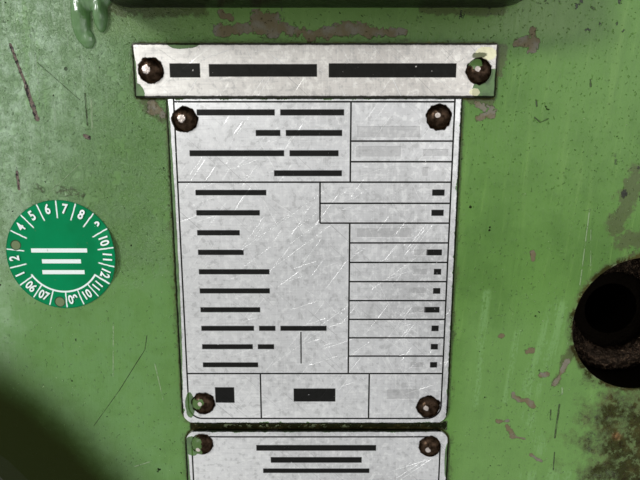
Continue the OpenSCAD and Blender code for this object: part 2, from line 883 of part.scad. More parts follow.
module v_belts() {
    thick = 8;
    r1 = flywheel_d / 2 - 7;
    r2 = pulley_d / 2 - 7;
    color([0.09, 0.09, 0.09])
    for (k = [0:belt_n - 1]) {
        y = belt_y + (k - (belt_n - 1) / 2) * belt_pitch;
        front_solid(y - 3.6, y + 3.6) difference() {
            wrap(r1 + thick, r2 + thick);
            wrap(r1, r2);
        }
    }
}

module belt_guard() {
    color([0.40, 0.56, 0.30]) {
        front_solid(guard_y0, guard_y1) difference() {
            wrap(guard_r, guard_small_r);
            wrap(guard_r - sheet_t, guard_small_r - sheet_t);
        }
        difference() {
            front_solid(guard_y1 - sheet_t, guard_y1)
                wrap(guard_r - sheet_t / 2, guard_small_r - sheet_t / 2);
            for (ring = [[150, 20], [190, 26]], k = [0:ring[1] - 1])
                let (a = 360 * k / ring[1])
                    rod_y(16, guard_y1 - sheet_t - cut, guard_y1 + cut,
                        ring[0] * cos(a), shaft_z + ring[0] * sin(a));
        }
    }
}

// Angled straps from the column's rear face to the inside of the guard's wall
module guard_brackets() {
    half = 14;
    reach = sqrt(pow(guard_r - sheet_t, 2) - half * half) - seat_gap;
    color([0.30, 0.32, 0.30])
    for (a = guard_mounts)
        translate([0, 0, shaft_z]) rotate([0, -a, 0]) {
            box(bracket_bolt_r - 16, reach, frame_rear, frame_rear + bracket_t, -half, half);
            box(reach - bracket_t, reach, frame_rear, guard_y0 + 24, -half, half);
        }
}

module brake_drum() {
    color([0.42, 0.42, 0.42])
    difference() {
        rod_y(brake_d, brake_y0, brake_y0 + brake_w, 0, shaft_z);
        rod_y(rear_journal_d + 2 * run_gap, brake_y0 - cut, brake_y0 + brake_w + cut, 0, shaft_z);
    }
}

// Steel band with its lining and the spring bolt that closes it, above the drum
module brake_band() {
    y0 = brake_y0 + 2;
    y1 = brake_y0 + brake_w - 2;
    inner = brake_d / 2 + seat_gap;
    color([0.26, 0.22, 0.18])
    difference() {
        rod_y(2 * inner + 14, y0, y1, 0, shaft_z);
        rod_y(2 * inner, y0 - cut, y1 + cut, 0, shaft_z);
        box(-9, 9, y0 - cut, y1 + cut, shaft_z, shaft_z + brake_d);
    }
    color([0.34, 0.34, 0.34]) {
        for (s = [-1, 1])
            box(s * 13 - 4, s * 13 + 4, y0, y1, shaft_z + inner + 2, shaft_z + inner + 38);
        rod_x(10, -40, 58, (y0 + y1) / 2, shaft_z + inner + 26);
        for (x = [17, 46]) face_right(x, (y0 + y1) / 2, shaft_z + inner + 26) hex_head(10);
        face_left(-17, (y0 + y1) / 2, shaft_z + inner + 26) hex_head(10);
        box(-13, 13, frame_rear, y0 + 4, shaft_z - inner - 30, shaft_z - inner - 5);
    }
}

// Driving collar with the notch that the clutch lever's nose reaches for
module clutch_collar() {
    color([0.46, 0.46, 0.45])
    difference() {
        rod_y(collar_d, collar_y0, collar_y0 + collar_w, 0, shaft_z);
        rod_y(rear_journal_d + 2 * run_gap, collar_y0 - cut,
            collar_y0 + collar_w + cut, 0, shaft_z);
        box(-26, -6, collar_y0 + 6, collar_y0 + collar_w + cut,
            shaft_z - collar_d / 2 - cut, shaft_z - collar_d / 2 + 8);
    }
}

module crankshaft() {
    color([0.58, 0.58, 0.58]) {
        rod_y(36, head_front + 6, eccentric_y0 + cut, 0, shaft_z);
        rod_y(eccentric_d, eccentric_y0, eccentric_y1 + 5, 0, shaft_z + eccentric_offset);
        rod_y(front_journal_d, eccentric_y1 + 4, channel_back_y + bush_len, 0, shaft_z);
        rod_y(90, channel_back_y + bush_len - cut, frame_rear - bush_len - 5, 0, shaft_z);
        rod_y(rear_journal_d, frame_rear - bush_len - 6, collar_y0 + collar_w + 3, 0, shaft_z);
        rod_y(flywheel_seat_d, collar_y0 + collar_w + 2, flywheel_y + flywheel_w, 0, shaft_z);
        rod_y(30, flywheel_y + flywheel_w - cut, flywheel_y + flywheel_w + 16, 0, shaft_z);
    }
}

module stroke_bush() {
    color([0.66, 0.60, 0.40])
    difference() {
        rod_y(stroke_bush_d, eccentric_y0, eccentric_y1, 0, pin_z);
        rod_y(eccentric_d + 2 * run_gap, eccentric_y0 - cut, eccentric_y1 + cut,
            0, shaft_z + eccentric_offset);
    }
}

module stroke_ring() {
    y0 = eccentric_y0 - 12;
    color([0.56, 0.56, 0.54])
    difference() {
        rod_y(86, y0, eccentric_y0, 0, shaft_z);
        rod_y(36 + 2 * run_gap, y0 - cut, eccentric_y0 + cut, 0, shaft_z);
        for (k = [0:stroke_ring_teeth - 1])
            translate([0, 0, shaft_z]) rotate([0, 360 * k / stroke_ring_teeth, 0])
                box(-2.5, 2.5, y0 - cut, eccentric_y0 + cut, 39, 50);
    }
}

module shaft_nut() {
    y1 = eccentric_y0 - 12;
    color([0.40, 0.40, 0.40])
    difference() {
        rod_y(64, y1 - 14, y1, 0, shaft_z);
        rod_y(36 + 2 * run_gap, y1 - 14 - cut, y1 + cut, 0, shaft_z);
        for (k = [0:3])
            translate([0, 0, shaft_z]) rotate([0, 90 * k, 0])
                box(-4, 4, y1 - 14 - cut, y1 + cut, 27, 40);
    }
}

module flywheel_nut() {
    y0 = flywheel_y + flywheel_w;
    color([0.40, 0.40, 0.40])
    difference() {
        union() {
            rod_y(88, y0, y0 + 4, 0, shaft_z);
            face_back(0, y0 + 4, shaft_z) cylinder(h = 10, d = 52, $fn = 6);
        }
        rod_y(30 + 2 * run_gap, y0 - cut, y0 + 15, 0, shaft_z);
    }
}

module con_rod() {
    shank_z0 = ball_z + 97;
    color([0.36, 0.40, 0.36])
    difference() {
        union() {
            rod_y(big_end_d, eccentric_y0, eccentric_y1, 0, pin_z);
            rod_z(rod_shank_d, shank_z0, pin_z - stroke_bush_d / 2 - 4, 0, ram_y);
            box(26, 44, ram_y - 24, ram_y + 24, shank_z0, shank_z0 + 34);
        }
        rod_y(stroke_bush_d + 2 * run_gap, eccentric_y0 - cut, eccentric_y1 + cut, 0, pin_z);
        rod_z(ball_screw_d + 2 * run_gap, shank_z0 - cut, pin_z, 0, ram_y);
        box(18, 45, ram_y - 1.5, ram_y + 1.5, shank_z0 - cut, shank_z0 + 40);
        rod_y(10.4, ram_y - 25, ram_y + 25, 37, shank_z0 + 17);
    }
}

module rod_clamp_bolt() {
    z = ball_z + 97 + 17;
    color([0.30, 0.30, 0.30]) {
        rod_y(10, ram_y - 25, ram_y + 24, 37, z);
        face_front(37, ram_y - 24, z) hex_head(10);
        face_back(37, ram_y + 24, z) cylinder(h = 3, d = 17, $fn = 6);
    }
}

module ball_screw() {
    color([0.60, 0.60, 0.60]) {
        translate([0, ram_y, ball_z]) sphere(d = ball_d);
        rod_z(ball_screw_d, ball_z + 12, ball_z + 97 + 50, 0, ram_y);
        rod_z(ball_screw_d + 1, ball_z + 38, ball_z + 56, 0, ram_y);
    }
}

module ram() {
    y0 = ram_y - ram_d / 2;
    y1 = ram_y + ram_d / 2;
    color([0.50, 0.51, 0.49])
    difference() {
        translate([0, 0, ram_bottom]) linear_extrude(ram_h) polygon([
            [-ram_half, y0], [ram_half, y0],
            [ram_half, ram_y - vee_h], [ram_half + vee_h, ram_y], [ram_half, ram_y + vee_h],
            [ram_half, y1], [-ram_half, y1],
            [-ram_half, ram_y + vee_h], [-ram_half - vee_h, ram_y], [-ram_half, ram_y - vee_h]
        ]);
        box(-pocket_half_x, pocket_half_x, ram_y - pocket_half_y, ram_y + pocket_half_y,
            pocket_floor, ram_top + cut);
        rod_z(shank_d, ram_bottom - cut, ram_bottom + shank_len, 0, ram_y);
        box(-1.5, 1.5, y0 - cut, ram_y - shank_d / 2 + 3, ram_bottom - cut,
            ram_bottom + shank_len);
        box(-ram_half - vee_h - cut, ram_half + vee_h + cut, y0 - cut, ram_y - shank_d / 4,
            ram_bottom + shank_len, ram_bottom + shank_len + 3);
        for (z = [18, 52])
            rod_x(12.4, -ram_half - vee_h - cut, ram_half + vee_h + cut,
                y0 + 24, ram_bottom + z);
    }
}

module shank_clamp_bolts() {
    y = ram_y - ram_d / 2 + 24;
    color([0.30, 0.30, 0.30])
    for (z = [18, 52]) {
        rod_x(12, -ram_half - 2, ram_half + cut, y, ram_bottom + z);
        face_right(ram_half, y, ram_bottom + z) hex_head(12);
        face_left(-ram_half, y, ram_bottom + z) cylinder(h = 10, d = 22, $fn = 6);
    }
}

module table() {
    back = knee_face - knee_back_t;
    web_x = 66;
    color([0.40, 0.56, 0.30])
    difference() {
        union() {
            translate([0, ram_y, table_z - table_t]) linear_extrude(table_t)
                rounded_rect(table_w, table_d, 24);
            box(-pad_x - 24, pad_x + 24, back, knee_face, knee_bottom, table_z - 2);
            for (s = [-1, 1])
                side_solid(s * web_x - 13, s * web_x + 13)
                    polygon([[back + 5, knee_bottom], [back + 5, table_z - 5],
                        [table_front + 20, table_z - 5], [table_front + 20, table_z - 80],
                        [back - 20, knee_bottom]]);
            rod_z(80, knee_bottom, knee_bottom + 140, 0, spindle_y);
            box(-40, 40, spindle_y, knee_face - 5, knee_bottom, knee_bottom + 140);
        }
        rod_z(spindle_d + 2 * run_gap, knee_bottom - cut, knee_bottom + 141, 0, spindle_y);
        rod_z(spindle_d + 6, knee_bottom + 140, spindle_top + table_drop + 5, 0, spindle_y);
        rod_z(drop_d, table_z - table_t - cut, table_z + cut, 0, ram_y);
        for (s = [-1, 1], z = clamp_bolt_z)
            rod_y(16.6, back - cut, knee_face + cut, s * pad_x, z);
    }
}

module bolster_plate() {
    z1 = table_z + bolster_t;
    w = table_w - 20;
    d = table_d - 16;
    color([0.55, 0.55, 0.53])
    difference() {
        translate([0, ram_y, table_z]) linear_extrude(bolster_t) rounded_rect(w, d, 6);
        rod_z(drop_d - 20, table_z - cut, z1 + cut, 0, ram_y);
        for (s = [-1, 1]) {
            box(s * 110 - slot_neck / 2, s * 110 + slot_neck / 2,
                ram_y - d, ram_y + d, z1 - 22, z1 + cut);
            box(s * 110 - slot_head / 2, s * 110 + slot_head / 2,
                ram_y - d, ram_y + d, z1 - 24, z1 - 13);
            for (t = [-1, 1]) {
                rod_z(12.6, table_z - cut, z1 + cut, s * 165, ram_y + t * 108);
                rod_z(20, z1 - 14, z1 + cut, s * 165, ram_y + t * 108);
            }
        }
    }
}

module bolster_bolts() {
    z1 = table_z + bolster_t;
    color([0.26, 0.26, 0.26])
    for (s = [-1, 1], t = [-1, 1])
        translate([s * 165, ram_y + t * 108, z1 - 14]) {
            cap_head(12);
            translate([0, 0, -bolster_t + 14]) cylinder(h = bolster_t - 13.5, d = 12);
        }
}

// T-bolts that hold the table casting to the column's slots
module table_clamp_bolts() {
    back = knee_face - knee_back_t;
    slot_end = throat_back - pad_t + clamp_depth;
    color([0.30, 0.30, 0.30])
    for (s = [-1, 1], z = clamp_bolt_z) {
        face_front(s * pad_x, back, z) hex_head(16);
        rod_y(16, back - 16, slot_end - 6, s * pad_x, z);
        box(s * pad_x - 15, s * pad_x + 15, slot_end - 14 + seat_gap, slot_end - 3,
            z - 13, z + 13);
    }
}

module table_spindle() {
    color([0.56, 0.56, 0.55])
    difference() {
        union() {
            rod_z(spindle_d, toe_top - 38, spindle_top, 0, spindle_y);
            rod_z(82, toe_top + seat_gap, toe_top + 34, 0, spindle_y);
        }
        for (a = [0, 90])
            translate([0, spindle_y, toe_top + 17]) rotate([90, 0, a])
                cylinder(h = 90, d = 14, center = true);
    }
}

module pedal_bracket() {
    color([0.40, 0.56, 0.30])
    for (s = [-1, 1])
        side_solid(pedal_x + s * 15 - 5, pedal_x + s * 15 + 5) {
            translate([pedal_pivot_y, pedal_z]) circle(20);
            translate([pedal_pivot_y - 32, base_h]) square([64, 12]);
            polygon([[pedal_pivot_y - 32, base_h + 8], [pedal_pivot_y + 32, base_h + 8],
                [pedal_pivot_y + 19, pedal_z], [pedal_pivot_y - 19, pedal_z]]);
        }
    color([0.55, 0.55, 0.55])
    rod_x(16, pedal_x - 26, pedal_x + 26, pedal_pivot_y, pedal_z);
}

module pedal_lever() {
    front = pedal_pivot_y - pedal_reach;
    color([0.32, 0.34, 0.32])
    difference() {
        union() {
            side_solid(pedal_x - lever_t / 2, pedal_x + lever_t / 2) {
                polygon([[front, pedal_z - lever_h / 2 + 8], [pedal_rear_y, pedal_z - 14],
                    [pedal_rear_y, pedal_z + 14], [pedal_pivot_y, pedal_z + lever_h / 2 + 4],
                    [front, pedal_z + lever_h / 2]]);
                translate([pedal_rear_y, pedal_z]) circle(14);
                translate([pedal_pivot_y, pedal_z]) circle(22);
            }
            rod_x(38, pedal_x - 9.7, pedal_x + 9.7, pedal_pivot_y, pedal_z);
            translate([pedal_x, front - 20, pedal_z + lever_h / 2 - 2])
                linear_extrude(6) rounded_rect(110, 90, 12);
            for (k = [0:6])
                box(pedal_x - 46, pedal_x + 46, front - 54 + 11 * k, front - 50 + 11 * k,
                    pedal_z + lever_h / 2 + 3, pedal_z + lever_h / 2 + 6);
        }
        rod_x(16 + 2 * run_gap, pedal_x - 10, pedal_x + 10, pedal_pivot_y, pedal_z);
        rod_x(fork_pin_d + 2, pedal_x - 10, pedal_x + 10, pedal_rear_y, pedal_z);
    }
}

// Upright rod from the pedal to the clutch lever, with a fork at each end
module pull_rod() {
    z0 = pedal_z;
    z1 = clutch_z;
    color([0.48, 0.48, 0.47]) {
        rod_z(pull_rod_d, z0 + 26, z1 - 26, pedal_x, pedal_rear_y);
        rod_z(26, spring_z - 8, spring_z, pedal_x, pedal_rear_y);
    }
    color([0.40, 0.40, 0.40]) {
        for (s = [-1, 1])
            box(pedal_x + s * 10.5 - 3.5, pedal_x + s * 10.5 + 3.5,
                pedal_rear_y - 11, pedal_rear_y + 11, z0 - 13, z0 + 28);
        box(pedal_x - 14, pedal_x + 14, pedal_rear_y - 11, pedal_rear_y + 11, z0 + 20, z0 + 30);
        rod_x(fork_pin_d, pedal_x - 14, pedal_x + 14, pedal_rear_y, z0);
        for (s = [-1, 1])
            box(pedal_x - 11, pedal_x + 11, pedal_rear_y + s * 10.5 - 3.5,
                pedal_rear_y + s * 10.5 + 3.5, z1 - 28, z1 + 13);
        box(pedal_x - 11, pedal_x + 11, pedal_rear_y - 14, pedal_rear_y + 14, z1 - 30, z1 - 20);
        rod_y(11, pedal_rear_y - 14, pedal_rear_y + 14, pedal_x, z1);
    }
}

// Two-armed lever behind the column: the rod lifts one end, the nose leaves the collar
module clutch_lever() {
    y0 = pedal_rear_y - 6;
    y1 = pedal_rear_y + 6;
    nose_z = shaft_z - collar_d / 2 - 1.5;
    color([0.34, 0.36, 0.34])
    difference() {
        front_solid(y0, y1) {
            translate([clutch_pivot_x, clutch_z]) circle(18);
            translate([pedal_x, clutch_z]) circle(11);
            polygon([[clutch_pivot_x, clutch_z - 13], [pedal_x, clutch_z - 8],
                [pedal_x, clutch_z + 8], [clutch_pivot_x, clutch_z + 13]]);
            polygon([[clutch_pivot_x, clutch_z - 14], [clutch_pivot_x, clutch_z + 12],
                [20, nose_z], [-2, nose_z], [-2, nose_z - 16], [20, nose_z - 18]]);
        }
        rod_y(16 + 2 * run_gap, y0 - cut, y1 + cut, clutch_pivot_x, clutch_z);
        box(pedal_x - 7.5, pedal_x + 7.5, y0 - cut, y1 + cut, clutch_z - 6, clutch_z + 6);
    }
}

// Shouldered pin in the column's rear wall that the clutch lever turns on
module clutch_pivot() {
    y0 = pedal_rear_y - 6;
    y1 = pedal_rear_y + 6;
    color([0.50, 0.50, 0.50]) {
        rod_y(26, frame_rear, y0 - seat_gap, clutch_pivot_x, clutch_z);
        rod_y(16, y0 - cut, y1 + 3, clutch_pivot_x, clutch_z);
        rod_y(26, y1 + seat_gap, y1 + 5, clutch_pivot_x, clutch_z);
    }
}

// Arm on the column's side that the pull rod slides in
module rod_guide() {
    color([0.38, 0.40, 0.38])
    difference() {
        union() {
            translate([0, 0, guide_z]) linear_extrude(guide_t) polygon([
                [side_x + 4, frame_rear - 60], [side_x + 8, frame_rear - 60],
                [pedal_x + 16, pedal_rear_y - 14], [pedal_x + 16, pedal_rear_y + 16],
                [pedal_x - 16, pedal_rear_y + 16], [side_x + 4, frame_rear - 28]
            ]);
            side_solid(side_x, side_x + 8)
                translate([frame_rear - 53, guide_z + guide_t / 2]) rounded_rect(56, 60, 6);
        }
        rod_z(pull_rod_d + 1, guide_z - cut, guide_z + guide_t + cut, pedal_x, pedal_rear_y);
    }
}

// Wire of the coil spring between the pull rod's collar and its guide
module return_spring() {
    z0 = spring_z + seat_gap;
    z1 = guide_z - seat_gap;
    turns = 7;
    steps = 14;
    wire_r = 1.6;
    coil_r = 11;
    sides = 6;
    count = turns * steps;
    rings = [for (j = [0:count]) let (a = 360 * j / steps,
            z = z0 + wire_r + (z1 - z0 - 2 * wire_r) * j / count)
        for (i = [0:sides - 1]) let (b = 360 * i / sides)
            [pedal_x + (coil_r + wire_r * cos(b)) * cos(a),
             pedal_rear_y + (coil_r + wire_r * cos(b)) * sin(a), z + wire_r * sin(b)]];
    skin = [for (j = [0:count - 1], i = [0:sides - 1]) let (k = (i + 1) % sides)
        [j * sides + i, j * sides + k, (j + 1) * sides + k, (j + 1) * sides + i]];
    first = [for (i = [0:sides - 1]) sides - 1 - i];
    last = [for (i = [0:sides - 1]) count * sides + i];
    color([0.50, 0.50, 0.50])
    polyhedron(points = rings, faces = concat(skin, [first, last]), convexity = 10);
}

module cabinet() {
    x0 = -side_x - cabinet_d;
    y1 = cabinet_y0 + cabinet_w;
    z1 = cabinet_z + cabinet_h;
    color([0.42, 0.55, 0.34])
    difference() {
        union() {
            box(x0, -side_x, cabinet_y0, y1, cabinet_z, z1);
            for (k = [0:2]) rod_z(26, cabinet_z - 16, cabinet_z + cut, x0 + 60 + k * 42,
                cabinet_y0 + 60);
        }
        box(x0 - cut, -side_x - sheet_t, cabinet_y0 + sheet_t, y1 - sheet_t,
            cabinet_z + sheet_t, z1 - sheet_t);
        for (k = [0:2]) rod_z(15, cabinet_z - 17, cabinet_z + 4, x0 + 60 + k * 42,
            cabinet_y0 + 60);
    }
}

// Mounting plate with the motor contactor, the overload relay and the terminals
module contactor() {
    x = -side_x - sheet_t;
    y = cabinet_y0 + cabinet_w / 2;
    z = cabinet_z + cabinet_h / 2;
    color([0.62, 0.62, 0.60])
        box(x - 3, x, y - 115, y + 115, z - 175, z + 175);
    color([0.15, 0.15, 0.15]) {
        box(x - 78, x - 2, y - 70, y - 10, z + 20, z + 110);
        box(x - 64, x - 2, y - 70, y - 10, z - 40, z + 14);
    }
    color([0.80, 0.78, 0.70])
        for (k = [0:2]) box(x - 60, x - 2, y + 20 + 26 * k, y + 42 + 26 * k, z + 30, z + 106);
    color([0.75, 0.72, 0.62])
        for (k = [0:11]) box(x - 40, x - 2, y - 96 + 16 * k, y - 84 + 16 * k, z - 140, z - 96);
}

module cabinet_door() {
    x0 = -side_x - cabinet_d;
    y1 = cabinet_y0 + cabinet_w;
    z1 = cabinet_z + cabinet_h;
    t = 18;
    color([0.42, 0.55, 0.34])
    difference() {
        union() {
            box(x0 - t, x0 - seat_gap, cabinet_y0, y1, cabinet_z, z1);
            for (z = [cabinet_z + 50, z1 - 110])
                rod_z(12, z, z + 60, x0 - 6, y1 + 6);
            for (z = [cabinet_z + 50, z1 - 110])
                box(x0 - t + 2, x0 - seat_gap, y1 - 2, y1 + 7, z, z + 60);
        }
        box(x0 - t + sheet_t, x0, cabinet_y0 + sheet_t, y1 - sheet_t,
            cabinet_z + sheet_t, z1 - sheet_t);
        rod_x(14 + 2 * run_gap, x0 - t - cut, x0, cabinet_y0 + 90, z1 - 90);
    }
    color([0.20, 0.20, 0.20])
        face_left(x0 - t, cabinet_y0 + 22, (cabinet_z + z1) / 2) {
            cylinder(h = 4, d = 30);
            translate([-4, -17, 3]) cube([8, 34, 12]);
        }
}

module main_switch() {
    x = -side_x - cabinet_d - 18;
    y = cabinet_y0 + 90;
    z = cabinet_z + cabinet_h - 90;
    color([0.08, 0.08, 0.08]) {
        rod_x(14, x - 2, x + 14, y, z);
        rod_x(54, x - 10, x - seat_gap, y, z);
        box(x - 34, x - 9, y - 8, y + 8, z - 28, z + 28);
    }
}

module button_box() {
    color([0.30, 0.32, 0.30])
    difference() {
        union() {
            front_solid(button_y + 4, button_y + 68)
                translate([button_x, button_zc]) rounded_rect(button_box_w, button_box_h, 10);
            front_solid(button_y, button_y + 5)
                translate([button_x, button_zc])
                    rounded_rect(button_box_w - 10, button_box_h - 12, 8);
        }
        for (s = [-1, 1])
            rod_y(22 + 2 * run_gap, button_y - 2, button_y + 28,
                button_x, button_zc + s * button_box_h * 0.24);
    }
}

// The upper (1) or lower (-1) push button
module push_button(s, cap_d, cap_h) {
    y = button_y;
    z = button_zc + s * button_box_h * 0.24;
    rod_y(22, y - 6, y + 20, button_x, z);
    rod_y(cap_d, y - 6 - cap_h, y - 5, button_x, z);
}

module start_button() {
    color([0.10, 0.42, 0.16]) push_button(-1, 28, 5);
}

module stop_button() {
    color([0.72, 0.10, 0.08]) push_button(1, 38, 12);
}

frame();
front_bush();
rear_bush();
left_gib();
right_gib();
hex_bolts();
gib_adjusting_screws();
front_cover();
side_cover();
rear_cover();
cover_screws();
title_strip();
data_plate();
type_plate();
plate_rivets();
test_sticker();
lifting_eye();
oil_cups();
motor_bracket();
motor_body();
motor_fan_cover();
motor_terminal_box();
v_belts();
belt_guard();
guard_brackets();
brake_band();
pedal_bracket();
clutch_pivot();
rod_guide();
return_spring();
cabinet();
contactor();
button_box();
crankshaft();
stroke_bush();
stroke_ring();
shaft_nut();
brake_drum();
clutch_collar();
flywheel();
flywheel_bush();
flywheel_nut();
motor_pulley();
con_rod();
rod_clamp_bolt();
ball_screw();
ram();
shank_clamp_bolts();
table();
bolster_plate();
bolster_bolts();
table_clamp_bolts();
table_spindle();
pedal_lever();
pull_rod();
clutch_lever();
cabinet_door();
main_switch();
start_button();
stop_button();
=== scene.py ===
# %% [markdown]
# # A stamping press, seen from a hand's width away
# The photograph looks at one patch of a green press casting: two riveted data plates, a round test
# sticker, a greasy spot-faced hole and a lot of old paint. The press itself stands nearly two metres
# high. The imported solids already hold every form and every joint, so this script loads them as a fixed
# frame, sets the camera where the photographer held it, and then spends its effort on finishes and on
# the small pieces that solids leave plain.

# %% Load the frame
import math
import bmesh
import bpy
from mathutils import Matrix, Vector


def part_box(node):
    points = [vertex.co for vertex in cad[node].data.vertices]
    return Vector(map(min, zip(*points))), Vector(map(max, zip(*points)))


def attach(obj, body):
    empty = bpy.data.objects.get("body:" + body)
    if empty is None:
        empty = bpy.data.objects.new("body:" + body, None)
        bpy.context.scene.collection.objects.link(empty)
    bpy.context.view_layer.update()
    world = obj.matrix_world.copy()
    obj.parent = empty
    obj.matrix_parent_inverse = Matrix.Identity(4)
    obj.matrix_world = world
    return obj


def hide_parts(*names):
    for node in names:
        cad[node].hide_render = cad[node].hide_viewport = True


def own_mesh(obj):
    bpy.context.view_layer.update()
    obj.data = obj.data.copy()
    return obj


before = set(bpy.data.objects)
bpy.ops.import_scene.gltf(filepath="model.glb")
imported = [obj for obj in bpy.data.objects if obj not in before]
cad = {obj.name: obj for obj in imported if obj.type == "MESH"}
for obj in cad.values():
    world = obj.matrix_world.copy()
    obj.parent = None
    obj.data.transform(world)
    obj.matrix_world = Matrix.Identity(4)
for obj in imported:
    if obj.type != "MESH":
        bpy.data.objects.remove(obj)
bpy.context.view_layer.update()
MM = 0.001

# %% [markdown]
# ## The camera
# The plates are rectangles on the real machine but narrow downwards in the picture, so the
# photographer looked down a little. The ratio of the plates' upper and lower widths gives that tilt,
# and the plates' size in the picture gives the distance. Everything else in the close-up is placed
# from these values, in millimetres on the side wall.

# %% Camera
SIDE_X = 150.0
CAMERA_GAP = 142.9
CAMERA_Y = 56.2
CAMERA_Z = 1226.9
TILT = math.radians(9.84)
camera_data = bpy.data.cameras.new("close_up")
camera_data.lens = 27.56
camera_data.sensor_width = 36.0
camera_data.clip_start = 0.01
camera = bpy.data.objects.new("close_up", camera_data)
bpy.context.scene.collection.objects.link(camera)
camera.location = ((SIDE_X + CAMERA_GAP) * MM, CAMERA_Y * MM, CAMERA_Z * MM)
camera.rotation_euler = (math.pi / 2 - TILT, 0, math.pi / 2)
bpy.context.scene.camera = camera
print("camera stands", CAMERA_GAP, "mm from the wall")

# %% [markdown]
# ## Light
# Plain studio light. The sheen on the paint's upper left says that the real light came from the
# machine's front and a little above, so the key lamp stands there, where the wall mirrors it just
# outside the picture's corner. A weak fill lamp stands towards the machine's rear, and two more lamps
# light the other sides. The surroundings are an even pale grey, and count as white wherever the camera,
# a glossy ray or a transmitted ray sees them.

# %% Lamps
PATCH = Vector((0.15, 0.05, 1.2))
MIDDLE = Vector((0.0, 0.0, 1.0))


def soft_lamp(name, place, target, size, power):
    lamp = bpy.data.lights.new(name, "AREA")
    lamp.shape = "DISK"
    lamp.size = size
    lamp.energy = power
    thing = bpy.data.objects.new(name, lamp)
    bpy.context.scene.collection.objects.link(thing)
    thing.location = place
    thing.rotation_euler = (target - place).to_track_quat("-Z", "Y").to_euler()


soft_lamp("key_lamp", PATCH + Vector((2.0, -1.75, 1.25)), PATCH, 0.6, 48)
soft_lamp("fill_lamp", PATCH + Vector((2.2, 1.5, 0.6)), PATCH, 1.8, 12)
soft_lamp("left_lamp", Vector((-2.4, -1.8, 2.6)), MIDDLE, 2.0, 62)
soft_lamp("back_lamp", Vector((-0.8, 2.8, 2.6)), MIDDLE, 2.0, 50)

world = bpy.data.worlds.new("studio")
bpy.context.scene.world = world
world.use_nodes = True
world_nodes = world.node_tree.nodes
world_links = world.node_tree.links
sky = world_nodes["Background"]
sky.inputs["Color"].default_value = (0.93, 0.95, 1.0, 1.0)
sky.inputs["Strength"].default_value = 0.36
white = world_nodes.new("ShaderNodeBackground")
white.inputs["Strength"].default_value = 1.0
ray = world_nodes.new("ShaderNodeLightPath")
either = world_nodes.new("ShaderNodeMath")
either.operation = "MAXIMUM"
any_seen = world_nodes.new("ShaderNodeMath")
any_seen.operation = "MAXIMUM"
pick_sky = world_nodes.new("ShaderNodeMixShader")
world_links.new(ray.outputs["Is Camera Ray"], either.inputs[0])
world_links.new(ray.outputs["Is Glossy Ray"], either.inputs[1])
world_links.new(either.outputs[0], any_seen.inputs[0])
world_links.new(ray.outputs["Is Transmission Ray"], any_seen.inputs[1])
world_links.new(any_seen.outputs[0], pick_sky.inputs[0])
world_links.new(sky.outputs[0], pick_sky.inputs[1])
world_links.new(white.outputs[0], pick_sky.inputs[2])
world_links.new(pick_sky.outputs[0], world_nodes["World Output"].inputs[0])
bpy.context.scene.view_settings.view_transform = "Standard"
print("lamps", len(bpy.data.lights))

# %% [markdown]
# ## Shader maths in plain expressions
# Wear, dirt and print are all sums of small masks. Wrapping a socket in a class with its own + - * /
# lets a mask be written as one line of arithmetic, and each operator adds the Math node for it.

# %% Socket arithmetic
class Val:
    """A number or a vector that runs through a shader tree."""

    def __init__(self, finish, socket):
        self.finish = finish
        self.socket = socket

    def math(self, kind, *values):
        inputs = dict(enumerate(values))
        return self.finish.node("ShaderNodeMath", {"operation": kind}, inputs)

    def __add__(self, other):
        return self.math("ADD", self, other)

    def __sub__(self, other):
        return self.math("SUBTRACT", self, other)

    def __mul__(self, other):
        return self.math("MULTIPLY", self, other)

    def __truediv__(self, other):
        return self.math("DIVIDE", self, other)

    def __radd__(self, other):
        return self.math("ADD", other, self)

    def __rsub__(self, other):
        return self.math("SUBTRACT", other, self)

    def __rmul__(self, other):
        return self.math("MULTIPLY", other, self)

    def __abs__(self):
        return self.math("ABSOLUTE", self)

    def low(self, other):
        return self.math("MINIMUM", self, other)

    def high(self, other):
        return self.math("MAXIMUM", self, other)

    def ramp(self, start, end):
        """0 at start, 1 at end, smooth between them and flat outside."""
        settings = {"interpolation_type": "SMOOTHSTEP"}
        inputs = {"Value": self, "From Min": start, "From Max": end}
        if start > end:
            inputs = {"Value": self, "From Min": end, "From Max": start, "To Min": 1.0, "To Max": 0.0}
        return self.finish.node("ShaderNodeMapRange", settings, inputs)


def lowest(values):
    result = None
    for value in values:
        result = value if result is None else result.low(value)
    return result


def highest(values):
    result = None
    for value in values:
        result = value if result is None else result.high(value)
    return result


print("socket arithmetic ready")

# %% [markdown]
# A finish starts from the Principled shader and the piece's own Object coordinates. Every solid keeps
# its object at the origin, so these coordinates are places on the machine, and one pattern runs on
# across neighbouring pieces. Noise that is stretched along one direction gives brush marks, turning
# marks and scratches.

